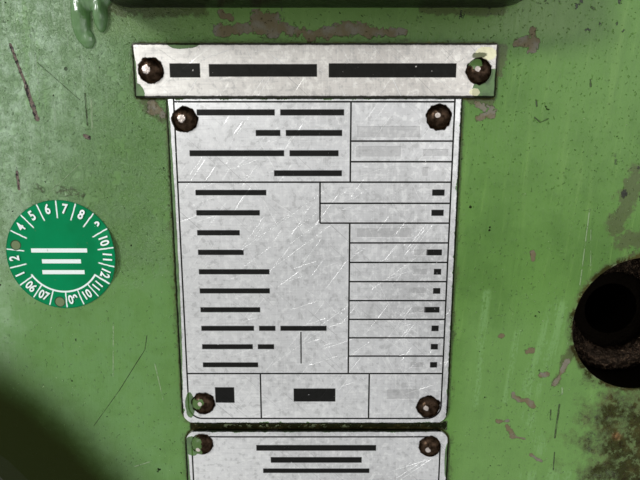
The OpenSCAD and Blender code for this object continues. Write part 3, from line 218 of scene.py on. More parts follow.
# %% A material under construction
class Finish:
    """A material under construction, with places in millimetres."""

    def __init__(self, name):
        self.material = bpy.data.materials.new(name)
        self.material.use_nodes = True
        self.tree = self.material.node_tree
        self.shader = self.tree.nodes["Principled BSDF"]
        coordinates = self.tree.nodes.new("ShaderNodeTexCoord")
        self.place = Val(self, coordinates.outputs["Object"])
        self.split = self.tree.nodes.new("ShaderNodeSeparateXYZ")
        self.tree.links.new(coordinates.outputs["Object"], self.split.inputs[0])

    def along(self, axis):
        return Val(self, self.split.outputs[axis]) * 1000.0

    def facing(self, axis):
        """How far the surface looks along an axis, from -1 to 1."""
        geometry = self.tree.nodes.new("ShaderNodeNewGeometry")
        parts = self.tree.nodes.new("ShaderNodeSeparateXYZ")
        self.tree.links.new(geometry.outputs["Normal"], parts.inputs[0])
        return Val(self, parts.outputs[axis])

    def node(self, kind, settings=None, inputs=None, output=0):
        made = self.tree.nodes.new(kind)
        for key, value in (settings or {}).items():
            setattr(made, key, value)
        for key, value in (inputs or {}).items():
            self.feed(made.inputs[key], value)
        return Val(self, made.outputs[output])

    def feed(self, socket, value):
        if isinstance(value, Val):
            self.tree.links.new(value.socket, socket)
        elif isinstance(value, tuple) and len(value) == 3 and socket.type == "RGBA":
            socket.default_value = value + (1.0,)
        else:
            socket.default_value = value

    def vector(self, kind, *values, output=0):
        inputs = dict(enumerate(values))
        return self.node("ShaderNodeVectorMath", {"operation": kind}, inputs, output)

    def noise(self, scale, detail=3.0, rough=0.55, stretch=None, shift=0.0, turn=None):
        where = self.place
        if turn is not None:
            where = self.node("ShaderNodeMapping", {}, {"Vector": where, "Rotation": turn})
        if stretch is not None:
            where = self.vector("MULTIPLY", where, stretch)
        step = shift * 13.7 / scale
        where = self.vector("ADD", where, (step, -0.6 * step, 0.8 * step))
        inputs = {"Vector": where, "Scale": scale, "Detail": detail, "Roughness": rough}
        return self.node("ShaderNodeTexNoise", {}, inputs)

    def scratches(self, angle, shift, low=0.70, high=0.76, length=24.0, width=0.35):
        """Thin straight marks in the side wall's plane, all at one angle."""
        stretch = (20.0, 1000.0 / length, 1000.0 / width)
        marks = self.noise(1.0, 1.0, 0.5, stretch=stretch, shift=shift, turn=(angle, 0.0, 0.0))
        return marks.ramp(low, high)

    def blend(self, factor, first, second):
        made = self.tree.nodes.new("ShaderNodeMix")
        made.data_type = "RGBA"
        self.feed(made.inputs[0], factor)
        self.feed(made.inputs[6], first)
        self.feed(made.inputs[7], second)
        return Val(self, made.outputs[2])

    def bump(self, height, depth_mm, strength=1.0):
        inputs = {"Height": height, "Distance": depth_mm * MM, "Strength": strength}
        return self.node("ShaderNodeBump", {}, inputs)

    def finish(self, colour, rough, metal=0.0, normal=None, coat=0.0, coat_rough=0.1, shine=0.5, edge=1.0):
        self.feed(self.shader.inputs["Base Color"], colour)
        self.feed(self.shader.inputs["Roughness"], rough)
        self.feed(self.shader.inputs["Metallic"], metal)
        self.shader.inputs["Coat Weight"].default_value = coat
        self.shader.inputs["Coat Roughness"].default_value = coat_rough
        self.shader.inputs["Specular IOR Level"].default_value = shine
        self.shader.inputs["Specular Tint"].default_value = (edge, edge, edge, 1.0)
        if normal is not None:
            self.feed(self.shader.inputs["Normal"], normal)
        return self.material


print("finish class ready")

# %% [markdown]
# ## Masks on the casting's side
# A chip is an uneven blot, a scratch is a thin straight stretch, and a printed rule is a short bar. All
# are distances in the plane of the side wall, bent a little by noise so that no edge is clean.

# %% Mask helpers
class SidePlane:
    """Distances in millimetres on the side wall, for one finish."""

    def __init__(self, finish, wobble_size=900.0):
        self.finish = finish
        self.y = finish.along(1)
        self.z = finish.along(2)
        self.flat = finish.node("ShaderNodeCombineXYZ", {}, {0: self.y, 1: self.z, 2: 0.0})
        self.wobble = finish.noise(wobble_size, 2.0) - 0.5

    def blot(self, y, z, half_width, half_height):
        """0 in the middle of an oval and 1 at its edge."""
        moved = self.finish.vector("SUBTRACT", self.flat, (y, z, 0.0))
        scaled = self.finish.vector("MULTIPLY", moved, (1 / half_width, 1 / half_height, 0.0))
        return self.finish.vector("LENGTH", scaled, output=1)

    def stroke(self, start, end, half_width):
        """1 on a straight stretch from start to end, 0 off it."""
        way = (end[0] - start[0], end[1] - start[1])
        length = math.hypot(*way)
        along = (way[0] / length, way[1] / length, 0.0)
        across = (-along[1], along[0], 0.0)
        moved = self.finish.vector("SUBTRACT", self.flat, (start[0], start[1], 0.0))
        run = self.finish.vector("DOT_PRODUCT", moved, along, output=1)
        off = abs(self.finish.vector("DOT_PRODUCT", moved, across, output=1) + self.wobble * half_width)
        ends = abs(run - length / 2).ramp(length / 2, length / 2 - 2 * half_width)
        return off.ramp(half_width, half_width * 0.4) * ends

    def smear(self, start, end, radius):
        """0 on the line from start to end and 1 at a radius from it, round the ends too."""
        way = (end[0] - start[0], end[1] - start[1], 0.0)
        square = way[0] ** 2 + way[1] ** 2
        moved = self.finish.vector("SUBTRACT", self.flat, (start[0], start[1], 0.0))
        run = self.finish.vector("DOT_PRODUCT", moved, tuple(part / square for part in way), output=1)
        held = run.high(0.0).low(1.0)
        nearest = self.finish.node("ShaderNodeVectorMath", {"operation": "SCALE"}, {0: way, "Scale": held})
        return self.finish.vector("DISTANCE", moved, nearest, output=1) * (1 / radius)

    def smears(self, strokes):
        """The nearest of several smears, taken one by one so that the shader's stack stays short."""
        return lowest(self.smear(*stroke) for stroke in strokes)

    def blots(self, ovals):
        return lowest(self.blot(*oval) for oval in ovals)

    def dots(self, places):
        return self.blots((y, z, radius, radius) for y, z, radius in places)

    def bar(self, y0, y1, z0, z1, soft=0.05):
        """1 inside an upright rectangle."""
        wide = abs(self.y - (y0 + y1) / 2).ramp((y1 - y0) / 2 + soft, (y1 - y0) / 2 - soft)
        tall = abs(self.z - (z0 + z1) / 2).ramp((z1 - z0) / 2 + soft, (z1 - z0) / 2 - soft)
        return wide * tall

    def inside(self, y0, y1, z0, z1, radius):
        """Millimetres past the edge of a rectangle with round corners, negative within it."""
        over_y = abs(self.y - (y0 + y1) / 2) - ((y1 - y0) / 2 - radius)
        over_z = abs(self.z - (z0 + z1) / 2) - ((z1 - z0) / 2 - radius)
        corner = self.finish.node("ShaderNodeCombineXYZ", {}, {0: over_y.high(0.0), 1: over_z.high(0.0)})
        return self.finish.vector("LENGTH", corner, output=1) + over_y.high(over_z).low(0.0) - radius

    def frame_line(self, y0, y1, z0, z1, radius, half_width):
        """1 on the outline of a rectangle with round corners."""
        return abs(self.inside(y0, y1, z0, z1, radius)).ramp(half_width + 0.05, half_width - 0.05)


print("mask helpers ready")

# %% [markdown]
# ## Modelling as by hand
# Each new piece starts from a primitive in edit mode. Faces and edges are picked by a rule on their
# place, shaped with the edit-mode operators, and the modifiers are applied at the end. A finished
# piece keeps its place in its mesh, so that its object sits at the origin as the solids do.

# %% Modelling helpers
def leave_edit():
    bpy.ops.object.mode_set(mode="OBJECT")


def clear_selection():
    if bpy.context.mode != "OBJECT":
        leave_edit()
    bpy.ops.object.select_all(action="DESELECT")


def pick(piece):
    """Selects one piece alone and makes it the active one."""
    clear_selection()
    piece.select_set(True)
    bpy.context.view_layer.objects.active = piece


def keep_place():
    """Writes the picked piece's place, turn and size into its mesh."""
    bpy.ops.object.transform_apply(location=True, rotation=True, scale=True)


def edit(piece):
    pick(piece)
    bpy.ops.object.mode_set(mode="EDIT")


def choose_all():
    bpy.ops.mesh.select_all(action="SELECT")


def choose(kind, rule):
    """Selects the faces, edges or corners of the mesh in edit mode for which a rule holds."""
    bpy.ops.mesh.select_mode(type=kind)
    bpy.ops.mesh.select_all(action="DESELECT")
    mesh = bmesh.from_edit_mesh(bpy.context.edit_object.data)
    parts = {"FACE": mesh.faces, "EDGE": mesh.edges, "VERT": mesh.verts}[kind]
    for part in parts:
        part.select_set(rule(part))
    mesh.select_flush_mode()
    bmesh.update_edit_mesh(bpy.context.edit_object.data)


def dent(amount_mm, seed):
    """Moves the chosen corners by small uneven amounts."""
    bpy.ops.transform.vertex_random(offset=amount_mm * MM, uniform=0.0, normal=0.0, seed=seed)


def put(piece, place, turn):
    """Turns a loose piece and moves it from where it was modelled to its place in millimetres."""
    piece.matrix_world = Matrix.Translation(Vector(place) * MM) @ turn
    return piece


def twin(piece):
    pick(piece)
    bpy.ops.object.duplicate(linked=False)
    return bpy.context.object


def join(pieces):
    clear_selection()
    for piece in pieces:
        piece.select_set(True)
    bpy.context.view_layer.objects.active = pieces[0]
    bpy.ops.object.join()
    return bpy.context.object


def apply_modifiers(piece):
    pick(piece)
    for modifier in list(piece.modifiers):
        bpy.ops.object.modifier_apply(modifier=modifier.name)


def settle(piece, name, material, replaced=None, angle=40.0):
    """Applies modifiers and place, smooths, names and attaches a finished piece."""
    apply_modifiers(piece)
    keep_place()
    bpy.ops.object.shade_smooth_by_angle(angle=math.radians(angle))
    piece.name = name
    piece.data.name = name
    piece.data.materials.clear()
    piece.data.materials.append(material)
    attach(piece, "frame")
    if replaced:
        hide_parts(replaced)
    print(name, len(piece.data.polygons), "faces")


FACE_OUT = Matrix.Rotation(math.pi / 2, 4, "Y")
print("modelling helpers ready")

# %% [markdown]
# ## The green paint
# The casting was brushed by hand, more than once. The top coat is a yellowish green with brush marks that run
# down, pimples, and chips that show a grey-brown undercoat. Towards the throat it turns bluish, partly its
# own tone and partly painted sheen, and a paler painted sheen lies towards the upper left. Around the spot
# face it is soaked with grease, painted black also where the recess lies in shade, and the throat's rounded
# edge is painted near black as shade. The larger chips and scratches have places on the side wall: each has a
# start, an end and a half width, in millimetres along the machine and upwards. Smaller ones come from noise,
# so that the rest of the press wears in the same way.

# %% Places on the side wall
SPOT_Y = 154.2
SPOT_Z = 1175.9
SPOT_R = 21.0
THROAT_Y = -140.0
THROAT_Z = 1034.0
THROAT_SHADE_REACH = 152.0
CHIPS = [
    ((28.6, 1260.6), (36.0, 1261.2), 1.3), ((38.6, 1262.4), (43.0, 1262.2), 2.7),
    ((46.0, 1261.4), (54.0, 1259.6), 1.4), ((56.5, 1260.2), (63.7, 1261.2), 1.5),
    ((63.7, 1261.2), (71.0, 1260.4), 1.4), ((72.0, 1260.3), (79.3, 1260.2), 0.9),
    ((29.2, 1265.2), (32.0, 1263.8), 0.9), ((111.7, 1258.0), (115.2, 1257.6), 1.5),
    ((115.0, 1260.6), (114.9, 1255.6), 1.0), ((100.8, 1240.6), (102.8, 1239.6), 1.1),
    ((101.4, 1237.6), (104.2, 1238.4), 1.6), ((9.0, 1240.6), (11.3, 1238.6), 1.3),
    ((116.7, 1152.9), (119.3, 1151.0), 0.75), ((119.3, 1151.2), (121.6, 1151.2), 0.5),
    ((121.4, 1151.0), (123.5, 1149.2), 0.7), ((112.6, 1143.6), (115.5, 1144.2), 0.8),
    ((115.4, 1142.2), (117.9, 1138.6), 0.75), ((117.9, 1138.5), (121.3, 1137.9), 0.3),
    ((120.0, 1167.0), (121.4, 1167.8), 0.75), ((125.2, 1159.6), (126.5, 1160.0), 0.85),
    ((123.7, 1132.2), (127.4, 1129.8), 0.6), ((132.6, 1163.6), (129.6, 1156.4), 0.8),
    ((119.2, 1198.5), (119.8, 1196.2), 0.75), ((111.4, 1172.4), (112.0, 1172.2), 0.5),
]
OLIVE_SMUDGES = [
    ((106.6, 1256.6), (106.6, 1249.4), 1.2), ((98.5, 1242.0), (104.0, 1241.6), 1.2),
    ((7.6, 1241.8), (11.6, 1238.2), 2.0), ((-1.0, 1266.8), (24.0, 1266.0), 1.8),
    ((148.0, 1222.0), (143.4, 1206.0), 2.4), ((146.0, 1201.5), (152.0, 1203.0), 3.0),
    ((133.6, 1168.0), (130.0, 1157.0), 1.3), ((84.0, 1266.0), (106.0, 1265.6), 1.3),
]
DRY_BRUSH = [
    ((116.9, 1173.0), (114.5, 1151.2), 1.4), ((128.6, 1180.0), (122.4, 1155.4), 4.2),
    ((121.6, 1146.0), (127.2, 1134.0), 2.4), ((121.5, 1123.3), (135.9, 1125.1), 3.2),
    ((106.5, 1186.0), (105.0, 1150.0), 1.4), ((-26.0, 1266.0), (-24.0, 1242.0), 4.0),
]
SCRATCHES = [
    ((-29.5, 1257.0), (-26.3, 1246.0), 0.42), ((-26.3, 1246.0), (-24.0, 1236.8), 0.62),
    ((-31.4, 1222.1), (-31.3, 1217.2), 0.42), ((-10.9, 1232.3), (-9.9, 1231.8), 0.6),
]
PALE_STROKES = [
    ((-6.9, 1175.4), (-8.1, 1159.2), 0.26), ((-3.7, 1128.0), (2.6, 1130.1), 0.26),
    ((-8.3, 1243.0), (-8.7, 1233.4), 0.42), ((135.2, 1211.4), (134.4, 1188.4), 0.25),
    ((136.1, 1205.1), (137.2, 1193.0), 0.18), ((5.1, 1163.0), (7.0, 1151.3), 0.26),
    ((-22.0, 1216.5), (-13.0, 1224.5), 0.16), ((131.9, 1155.2), (132.0, 1153.3), 0.35),
]
DARK_STROKES = [
    ((3.2, 1172.3), (2.3, 1167.8), 0.16), ((2.3, 1167.8), (-0.9, 1163.0), 0.16),
    ((-0.9, 1163.0), (-6.5, 1154.4), 0.15), ((-6.5, 1154.4), (-15.4, 1142.4), 0.12),
    ((131.5, 1149.5), (131.0, 1138.3), 0.42), ((131.3, 1133.1), (131.4, 1126.9), 0.26),
    ((128.9, 1147.8), (129.1, 1144.4), 0.30), ((-9.9, 1243.9), (-9.9, 1235.3), 0.34),
    ((117.2, 1242.2), (117.5, 1240.5), 0.30), ((117.1, 1237.4), (118.9, 1236.0), 0.24),
    ((118.9, 1236.0), (121.0, 1237.0), 0.20), ((132.0, 1247.6), (132.2, 1245.9), 0.34),
    ((-22.5, 1252.3), (-11.5, 1242.2), 0.10), ((130.4, 1266.8), (131.2, 1266.3), 0.4),
]
BLISTERS = [((-26.6, 1218.2), (-24.6, 1217.0), 0.9), ((-19.6, 1216.8), (-13.8, 1215.8), 1.5)]
PLATE_Y = 55.0
data_low, data_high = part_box("data_plate")
strip_low, strip_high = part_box("title_strip")
type_low, type_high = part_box("type_plate")
DATA_BOX = (13.0, 96.2, data_low.z / MM - 1.2, data_high.z / MM)
STRIP_BOX = (4.4, 105.3, strip_low.z / MM - 0.2, strip_high.z / MM - 0.4)
TYPE_BOX = (13.5, 97.0, type_low.z / MM, type_high.z / MM - 0.6)
print("chips", len(CHIPS), "scratches", len(SCRATCHES))

# %% Colours of the paint
UNDERCOAT = (0.150, 0.125, 0.062)
GREY_COAT = (0.190, 0.178, 0.130)
OILY_BLACK = (0.006, 0.006, 0.003)
DIRT = (0.034, 0.028, 0.010)
RUST = (0.300, 0.110, 0.030)


class Layers:
    """A surface whose colour is built up layer by layer."""

    def tint(self, mask, tone):
        """Lays a tone over the colour where the mask is 1."""
        self.colour = self.f.blend(mask, self.colour, tone)


class Coat(Layers):
    """The layers of brushed paint: colour, height of the surface and what is bare."""

    def __init__(self, name, tone):
        self.f = Finish(name)
        f = self.f
        yellowish = (0.112 * tone[0], 0.244 * tone[1], 0.044 * tone[2])
        deep = (0.052 * tone[0], 0.132 * tone[1], 0.018 * tone[2])
        light = (0.210 * tone[0], 0.370 * tone[1], 0.090 * tone[2])
        self.patch = f.noise(42.0, 4.0, 0.6, shift=2.0)
        self.mottle = f.noise(170.0, 5.0, 0.72, shift=8.0)
        self.brush = f.noise(1.0, 4.0, 0.7, stretch=(520.0, 520.0, 42.0), shift=3.0, turn=(0.09, 0.0, 0.0))
        self.swipe = f.noise(1.0, 3.0, 0.6, stretch=(150.0, 150.0, 16.0), shift=5.0)
        self.pimple = f.noise(1250.0, 1.0, 0.5, shift=4.0).ramp(0.66, 0.80)
        self.fleck = f.noise(980.0, 2.0, 0.6, shift=23.0)
        colour = f.blend(self.patch.ramp(0.38, 0.70) * 0.50, yellowish, deep)
        colour = f.blend(self.mottle.ramp(0.50, 0.70) * 0.30, colour, deep)
        colour = f.blend(self.swipe.ramp(0.54, 0.76) * 0.32, colour, light)
        colour = f.blend(self.brush.ramp(0.54, 0.76) * 0.36, colour, light)
        self.colour = f.blend(self.brush.ramp(0.44, 0.28) * 0.30, colour, deep)
        self.height = self.pimple * 2.3 + self.brush * 1.0 + self.swipe * 1.0 + self.mottle * 1.6
        self.specks = f.noise(400.0, 2.0, 0.6, shift=15.0).ramp(0.73, 0.77)
        self.flakes = f.noise(60.0, 5.0, 0.62, shift=9.0).ramp(0.725, 0.735)
        self.grime = f.noise(26.0, 6.0, 0.7, shift=12.0).ramp(0.60, 0.80) * 0.45
        self.gloss = 0.25 + self.patch * 0.13
        self.black = self.specks

    def close(self):
        """Lays bare spots, specks, grime and painted shade over the colour and makes the material."""
        f = self.f
        under = f.blend(f.noise(210.0, 4.0, 0.6, shift=18.0).ramp(0.44, 0.62), UNDERCOAT, GREY_COAT)
        # Pale and dark flecks: partly the paint's own specks, partly painted glints and painted shade of
        # small bumps.
        pale_fleck_and_glint = self.fleck.ramp(0.70, 0.75)
        dark_fleck_and_shade = self.fleck.ramp(0.28, 0.22)
        colour = f.blend(pale_fleck_and_glint * 0.55, self.colour, (0.34, 0.50, 0.22))
        colour = f.blend(dark_fleck_and_shade * 0.45, colour, (0.030, 0.050, 0.012))
        colour = f.blend(self.flakes, colour, under)
        colour = f.blend(self.specks * 0.92, colour, OILY_BLACK)
        brown = f.blend(f.noise(130.0, 4.0, shift=44.0).ramp(0.45, 0.7), DIRT, (0.085, 0.070, 0.024))
        colour = f.blend(self.grime, colour, brown)
        height = self.height + pale_fleck_and_glint * 1.4 - dark_fleck_and_shade * 1.2 - self.flakes * 2.4 + self.specks * 0.8
        rough = self.gloss + self.flakes * 0.3 + self.grime * 0.15
        metal = self.black.high(self.grime.ramp(0.55, 0.90))
        return f.finish(colour, rough, metal, f.bump(height, 0.11), shine=0.35)


def green_paint(name, tone=(1.0, 1.0, 1.0)):
    coat = Coat(name, tone)
    # Painted shade: faces that look down take a darker share of the grime mask.
    below = coat.f.facing(2).ramp(-0.25, -0.7)
    coat.grime = coat.grime.high(below * 0.55)
    return coat.close()


machine_green = green_paint("machine_green")
cabinet_green = green_paint("cabinet_green", tone=(1.08, 1.02, 1.25))
print("plain green paints", 2)

# %% [markdown]
# The casting's own material adds what the picture shows at each place. It is built in small steps, each of
# which changes the colour, the height, or the grime and painted shade of the same coat.

# %% Paint of the casting's side
casting = Coat("casting_green", (1.0, 1.0, 1.0))
wall = SidePlane(casting.f)
on_wall = casting.f.along(0).ramp(140.0, 147.0)
soft_noise = casting.f.noise(120.0, 6.0, 0.74, shift=31.0) - 0.5
ragged = casting.f.noise(420.0, 5.0, 0.70, shift=21.0) - 0.5
BLUISH = (0.140, 0.250, 0.098)
LOW_LEFT = (0.128, 0.262, 0.080)
SHEEN_GREEN = (0.365, 0.510, 0.330)
DRY_GREEN = (0.200, 0.370, 0.130)
FOOT_GREEN = (0.180, 0.335, 0.100)


def tint_near_throat(coat):
    # Bluer tint on the left: partly the paint's own tone, partly painted sheen on the curving casting.
    left = (wall.y + soft_noise * 30.0).ramp(40.0, -8.0) * on_wall
    high_up = (wall.z + soft_noise * 24.0).ramp(1182.0, 1200.0)
    tint = coat.f.blend(high_up, LOW_LEFT, BLUISH)
    coat.tint(left * (0.55 + coat.mottle.ramp(0.60, 0.40) * 0.35), tint)
    # Painted sheen: a paler patch with fine upright streaks towards the upper left.
    pale = (wall.y + wall.z * -0.5 + soft_noise * 34.0).ramp(-612.0, -656.0) * on_wall
    pale = pale * wall.blot(20.0, 1215.0, 120.0, 90.0).ramp(1.7, 0.85)
    coat.tint(pale * (0.30 + coat.mottle.ramp(0.40, 0.60) * 0.70), SHEEN_GREEN)
    sheen_streaks = coat.f.noise(1.0, 3.0, 0.7, stretch=(900.0, 900.0, 40.0), shift=7.0).ramp(0.54, 0.74)
    coat.tint(pale * sheen_streaks * 0.45, (0.46, 0.54, 0.43))
    crust = abs(coat.f.noise(260.0, 5.0, 0.75, shift=28.0) - 0.5).ramp(0.10, 0.0)
    coat.height = coat.height + left * high_up * (coat.pimple * 2.2 + crust * 1.8)
    coat.gloss = coat.gloss - left * high_up * 0.07
    foot = (wall.z + soft_noise * 30.0).ramp(1192.0, 1170.0) * wall.y.ramp(96.0, 104.0) * on_wall
    coat.tint(foot * 0.38, FOOT_GREEN)


def darken_under_cover(coat):
    # Painted light: the band under the cover is tinted lighter, against the shadow the cover throws on it.
    lit_band = wall.z.ramp(1256.5, 1262.0) * wall.z.ramp(1275.0, 1270.0) * wall.y.ramp(-20.0, 0.0)
    lit_band = lit_band * wall.y.ramp(140.0, 118.0) * on_wall
    coat.tint(lit_band * 0.40, (0.210, 0.320, 0.110))
    # The dark line where the cover meets the wall is partly dirt and partly painted contact shade.
    seam_dirt_and_shade = (wall.z + ragged * 3.0).ramp(1265.0, 1267.2) * wall.z.ramp(1274.0, 1268.0)
    seam_dirt_and_shade = seam_dirt_and_shade * wall.y.ramp(-14.0, -7.0) * wall.y.ramp(126.0, 118.5) * on_wall
    coat.grime = coat.grime.high(seam_dirt_and_shade * 0.95)


def chip_and_scratch(coat):
    edge = wall.smears(CHIPS)
    frayed = (edge + soft_noise * 3.4 + ragged * 3.6).ramp(1.10, 0.96) * on_wall
    near_patch = wall.blot(56.0, 1195.0, 150.0, 110.0)
    coat.flakes = (coat.flakes * near_patch.ramp(0.95, 1.1)).high(frayed)
    coat.grime = coat.grime * near_patch.ramp(0.8, 1.2)
    smudge = (wall.smears(OLIVE_SMUDGES) + soft_noise * 3.4 + ragged * 3.6).ramp(1.30, 0.60) * on_wall
    coat.tint(smudge * 0.72, (0.066, 0.072, 0.024))
    coat.fleck = coat.fleck - smudge * ragged * 0.45
    dry = (wall.smears(DRY_BRUSH) + soft_noise * 1.2).ramp(1.2, 0.4)
    dry = dry * (coat.brush + coat.fleck * 0.5).ramp(0.70, 0.86) * on_wall
    coat.tint(dry * 0.5, DRY_GREEN)
    broken = ragged.ramp(-0.10, 0.03)
    pale = (wall.smears(PALE_STROKES) + wall.wobble).ramp(1.0, 0.3) * broken * on_wall
    coat.tint(pale * 0.6, (0.36, 0.46, 0.27))
    dark = (wall.smears(DARK_STROKES) + wall.wobble).ramp(1.0, 0.3) * on_wall
    coat.tint(dark * (0.45 + broken * 0.5), (0.030, 0.048, 0.012))
    cuts = (wall.smears(SCRATCHES) + wall.wobble * 1.6).ramp(1.1, 0.8) * on_wall
    tone = coat.f.blend(wall.wobble.ramp(-0.12, 0.02), (0.016, 0.012, 0.008), (0.185, 0.140, 0.110))
    coat.tint(cuts, tone)
    coat.height = coat.height - dark * 1.6 - cuts * 3.6 + pale * 1.2 + dry * 0.3


def blister_paint(coat):
    swollen = (wall.smears(BLISTERS) + soft_noise * 1.6 + ragged * 1.2).ramp(1.2, 0.7) * on_wall
    bubbles = coat.f.noise(700.0, 3.0, 0.6, shift=51.0)
    coat.tint(swollen * bubbles.ramp(0.45, 0.58) * 0.8, (0.055, 0.070, 0.028))
    coat.height = coat.height + swollen * bubbles * 6.0
    pimple = wall.blot(-14.7, 1250.6, 1.2, 1.2)
    coat.height = coat.height + pimple.ramp(1.0, 0.5) * 2.0 - pimple.ramp(0.5, 0.2) * 2.6
    coat.tint(pimple.ramp(0.55, 0.3) * 0.8, (0.03, 0.045, 0.02))


for step in (tint_near_throat, darken_under_cover, chip_and_scratch, blister_paint):
    step(casting)
print("casting paint steps", 4)

# %% [markdown]
# Dirt gathers where a hand never wipes: in the gap between the plates, along their edges and under the greasy
# hole. Along the plates' edges the dark line is partly painted shade, and the throat's rounded edge is
# painted near black as shade. Inside the spot face the paint is gone under grease, and painted black also as
# the recess' shade.

# %% Dirt and grease on the casting
def dirty_plate_edges(coat):
    gap = wall.bar(PLATE_Y - 40.0, PLATE_Y + 41.5, TYPE_BOX[3] - 0.4, DATA_BOX[2] + 0.4, 0.3) * on_wall
    crumbs = coat.f.noise(520.0, 3.0, 0.6, shift=61.0).ramp(0.56, 0.60)
    coat.tint(gap * 0.97, (0.010, 0.009, 0.005))
    coat.tint(gap * crumbs * 0.7, (0.20, 0.24, 0.13))
    coat.height = coat.height + gap * crumbs * 3.0
    coat.black = coat.black.high(gap)
    corners = ((DATA_BOX, 4.0), (STRIP_BOX, 0.6), (TYPE_BOX, 4.0))
    edge = lowest([wall.inside(*box, radius) for box, radius in corners])
    # A dark line on the wall along the plates' edges: partly dirt, partly painted shade of the edges.
    edge_dirt_and_shade = (edge + ragged * 1.6).ramp(0.9, 0.1) * on_wall
    coat.grime = coat.grime.high(edge_dirt_and_shade * 0.9)
    splash = (edge + soft_noise * 6.0).ramp(1.8, 0.6) * on_wall
    coat.grime = coat.grime.high(splash * ragged.ramp(-0.05, 0.15) * 0.6)


def soak_round_hole(coat):
    f = coat.f
    ring = wall.blot(SPOT_Y, SPOT_Z, SPOT_R, SPOT_R)
    below = wall.blot(SPOT_Y + 3.0, SPOT_Z - 44.0, 22.0, 34.0)
    soot = f.noise(330.0, 5.0, 0.72, shift=33.0)
    rim = (ring + soft_noise * 0.30).ramp(1.12, 1.01) * (soot.ramp(0.38, 0.52) * 0.7 + 0.25)
    wash = (below + soft_noise * 2.2).ramp(1.15, 0.35)
    stain = wash * (soot.ramp(0.34, 0.50) * 0.75 + 0.2)
    coat.tint(wash * 0.45 * on_wall, (0.085, 0.075, 0.028))
    coat.grime = coat.grime.high(rim * on_wall).high(stain * 0.92 * on_wall)
    coat.specks = coat.specks.high(wash * soot.ramp(0.56, 0.60) * on_wall)
    rust = wall.blot(150.6, 1138.8, 2.6, 2.2) + soft_noise * 1.4
    coat.rust = rust.ramp(1.0, 0.4) * on_wall
    coat.ring = ring


def pepper_corners(coat):
    pepper = coat.f.noise(300.0, 4.0, 0.7, shift=41.0).ramp(0.60, 0.64)
    top = (wall.blot(134.0, 1268.0, 26.0, 10.0) + soft_noise * 1.6).ramp(1.1, 0.5)
    under = (wall.blot(96.0, 1265.0, 24.0, 2.6) + soft_noise * 1.5).ramp(1.1, 0.4)
    side = (wall.blot(150.0, 1222.0, 10.0, 16.0) + soft_noise * 1.6).ramp(1.1, 0.5)
    coat.specks = coat.specks.high(pepper * top.high(under).high(side) * on_wall)


def oily_throat_edge(coat):
    # Painted shade: the paint darkens to near black towards the throat's rounded edge.
    reach = wall.blot(THROAT_Y, THROAT_Z, THROAT_SHADE_REACH, THROAT_SHADE_REACH) + soft_noise * 0.04
    coat.soot = reach.ramp(1.150, 0.990)
    coat.black = coat.black.high(coat.soot.ramp(0.35, 0.95))
    coat.gloss = coat.gloss + coat.soot * 0.2


for step in (dirty_plate_edges, soak_round_hole, pepper_corners, oily_throat_edge):
    step(casting)

RECESS_FACE = (149.95, 149.5)
RECESS_END = (95.0, 99.0)
# Black in the spot face: grease, and painted shade where the recess lies in shadow.
grease_and_shade = casting.ring.ramp(1.06, 1.03) * casting.f.along(0).ramp(*RECESS_FACE)
grease_and_shade = grease_and_shade * casting.f.along(0).ramp(*RECESS_END)
clean = 1.0 - grease_and_shade
lumps = casting.f.noise(420.0, 4.0, 0.65, shift=71.0)
casting.tint(casting.rust * 0.8, RUST)
# The throat edge's painted shade, near black.
casting.tint(casting.soot * 0.985, (0.014, 0.018, 0.003))
worn_rim = abs(casting.ring - 1.004).ramp(0.018, 0.006) * ragged.ramp(-0.12, 0.06) * on_wall * clean
casting.tint(worn_rim * 0.6, (0.22, 0.22, 0.14))
casting.grime = casting.grime * clean
casting.flakes = casting.flakes * clean
casting.specks = casting.specks * clean
casting.fleck = (casting.fleck - 0.5) * clean * casting.soot.ramp(1.0, 0.4) + 0.5
casting.tint(grease_and_shade, (0.004, 0.003, 0.002))
casting.height = (casting.height * clean + grease_and_shade * lumps * 5.0) * casting.soot.ramp(1.2, 0.3)
casting.black = casting.black.high(grease_and_shade)
casting.gloss = casting.gloss + grease_and_shade * 0.30
casting_green = casting.close()
print("casting paint finished")

# %% [markdown]
# The cast cover above the plates has the same paint, darker, and its underside is painted near black as
# shade: the picture sees only that underside and a strip of its lower edge.

# %% Paint of the side cover
cover = Coat("cover_green", (0.80, 0.86, 0.72))
# Painted shade: faces that look down are tinted near black, with a noisy border, and made a dark metal.
underside_shade = (cover.f.facing(2) + (cover.f.noise(60.0, 4.0, shift=3.0) - 0.5) * 0.8).ramp(-0.15, -0.65)
cover.tint(underside_shade * 0.95, (0.009, 0.013, 0.004))
cover.black = cover.black.high(underside_shade.ramp(0.3, 0.9))
cover_green = cover.close()
print("cover paint finished")

# %% [markdown]
# ## The aluminium plates
# The plates are anodised sheet with etched black print. The print itself is left out: its rules stay as
# ruled lines, and its words become short plain bars. The metal has a fine woven stipple, scratches in
# many directions, dark halos round the screws, and green where a brush slipped over the edge.

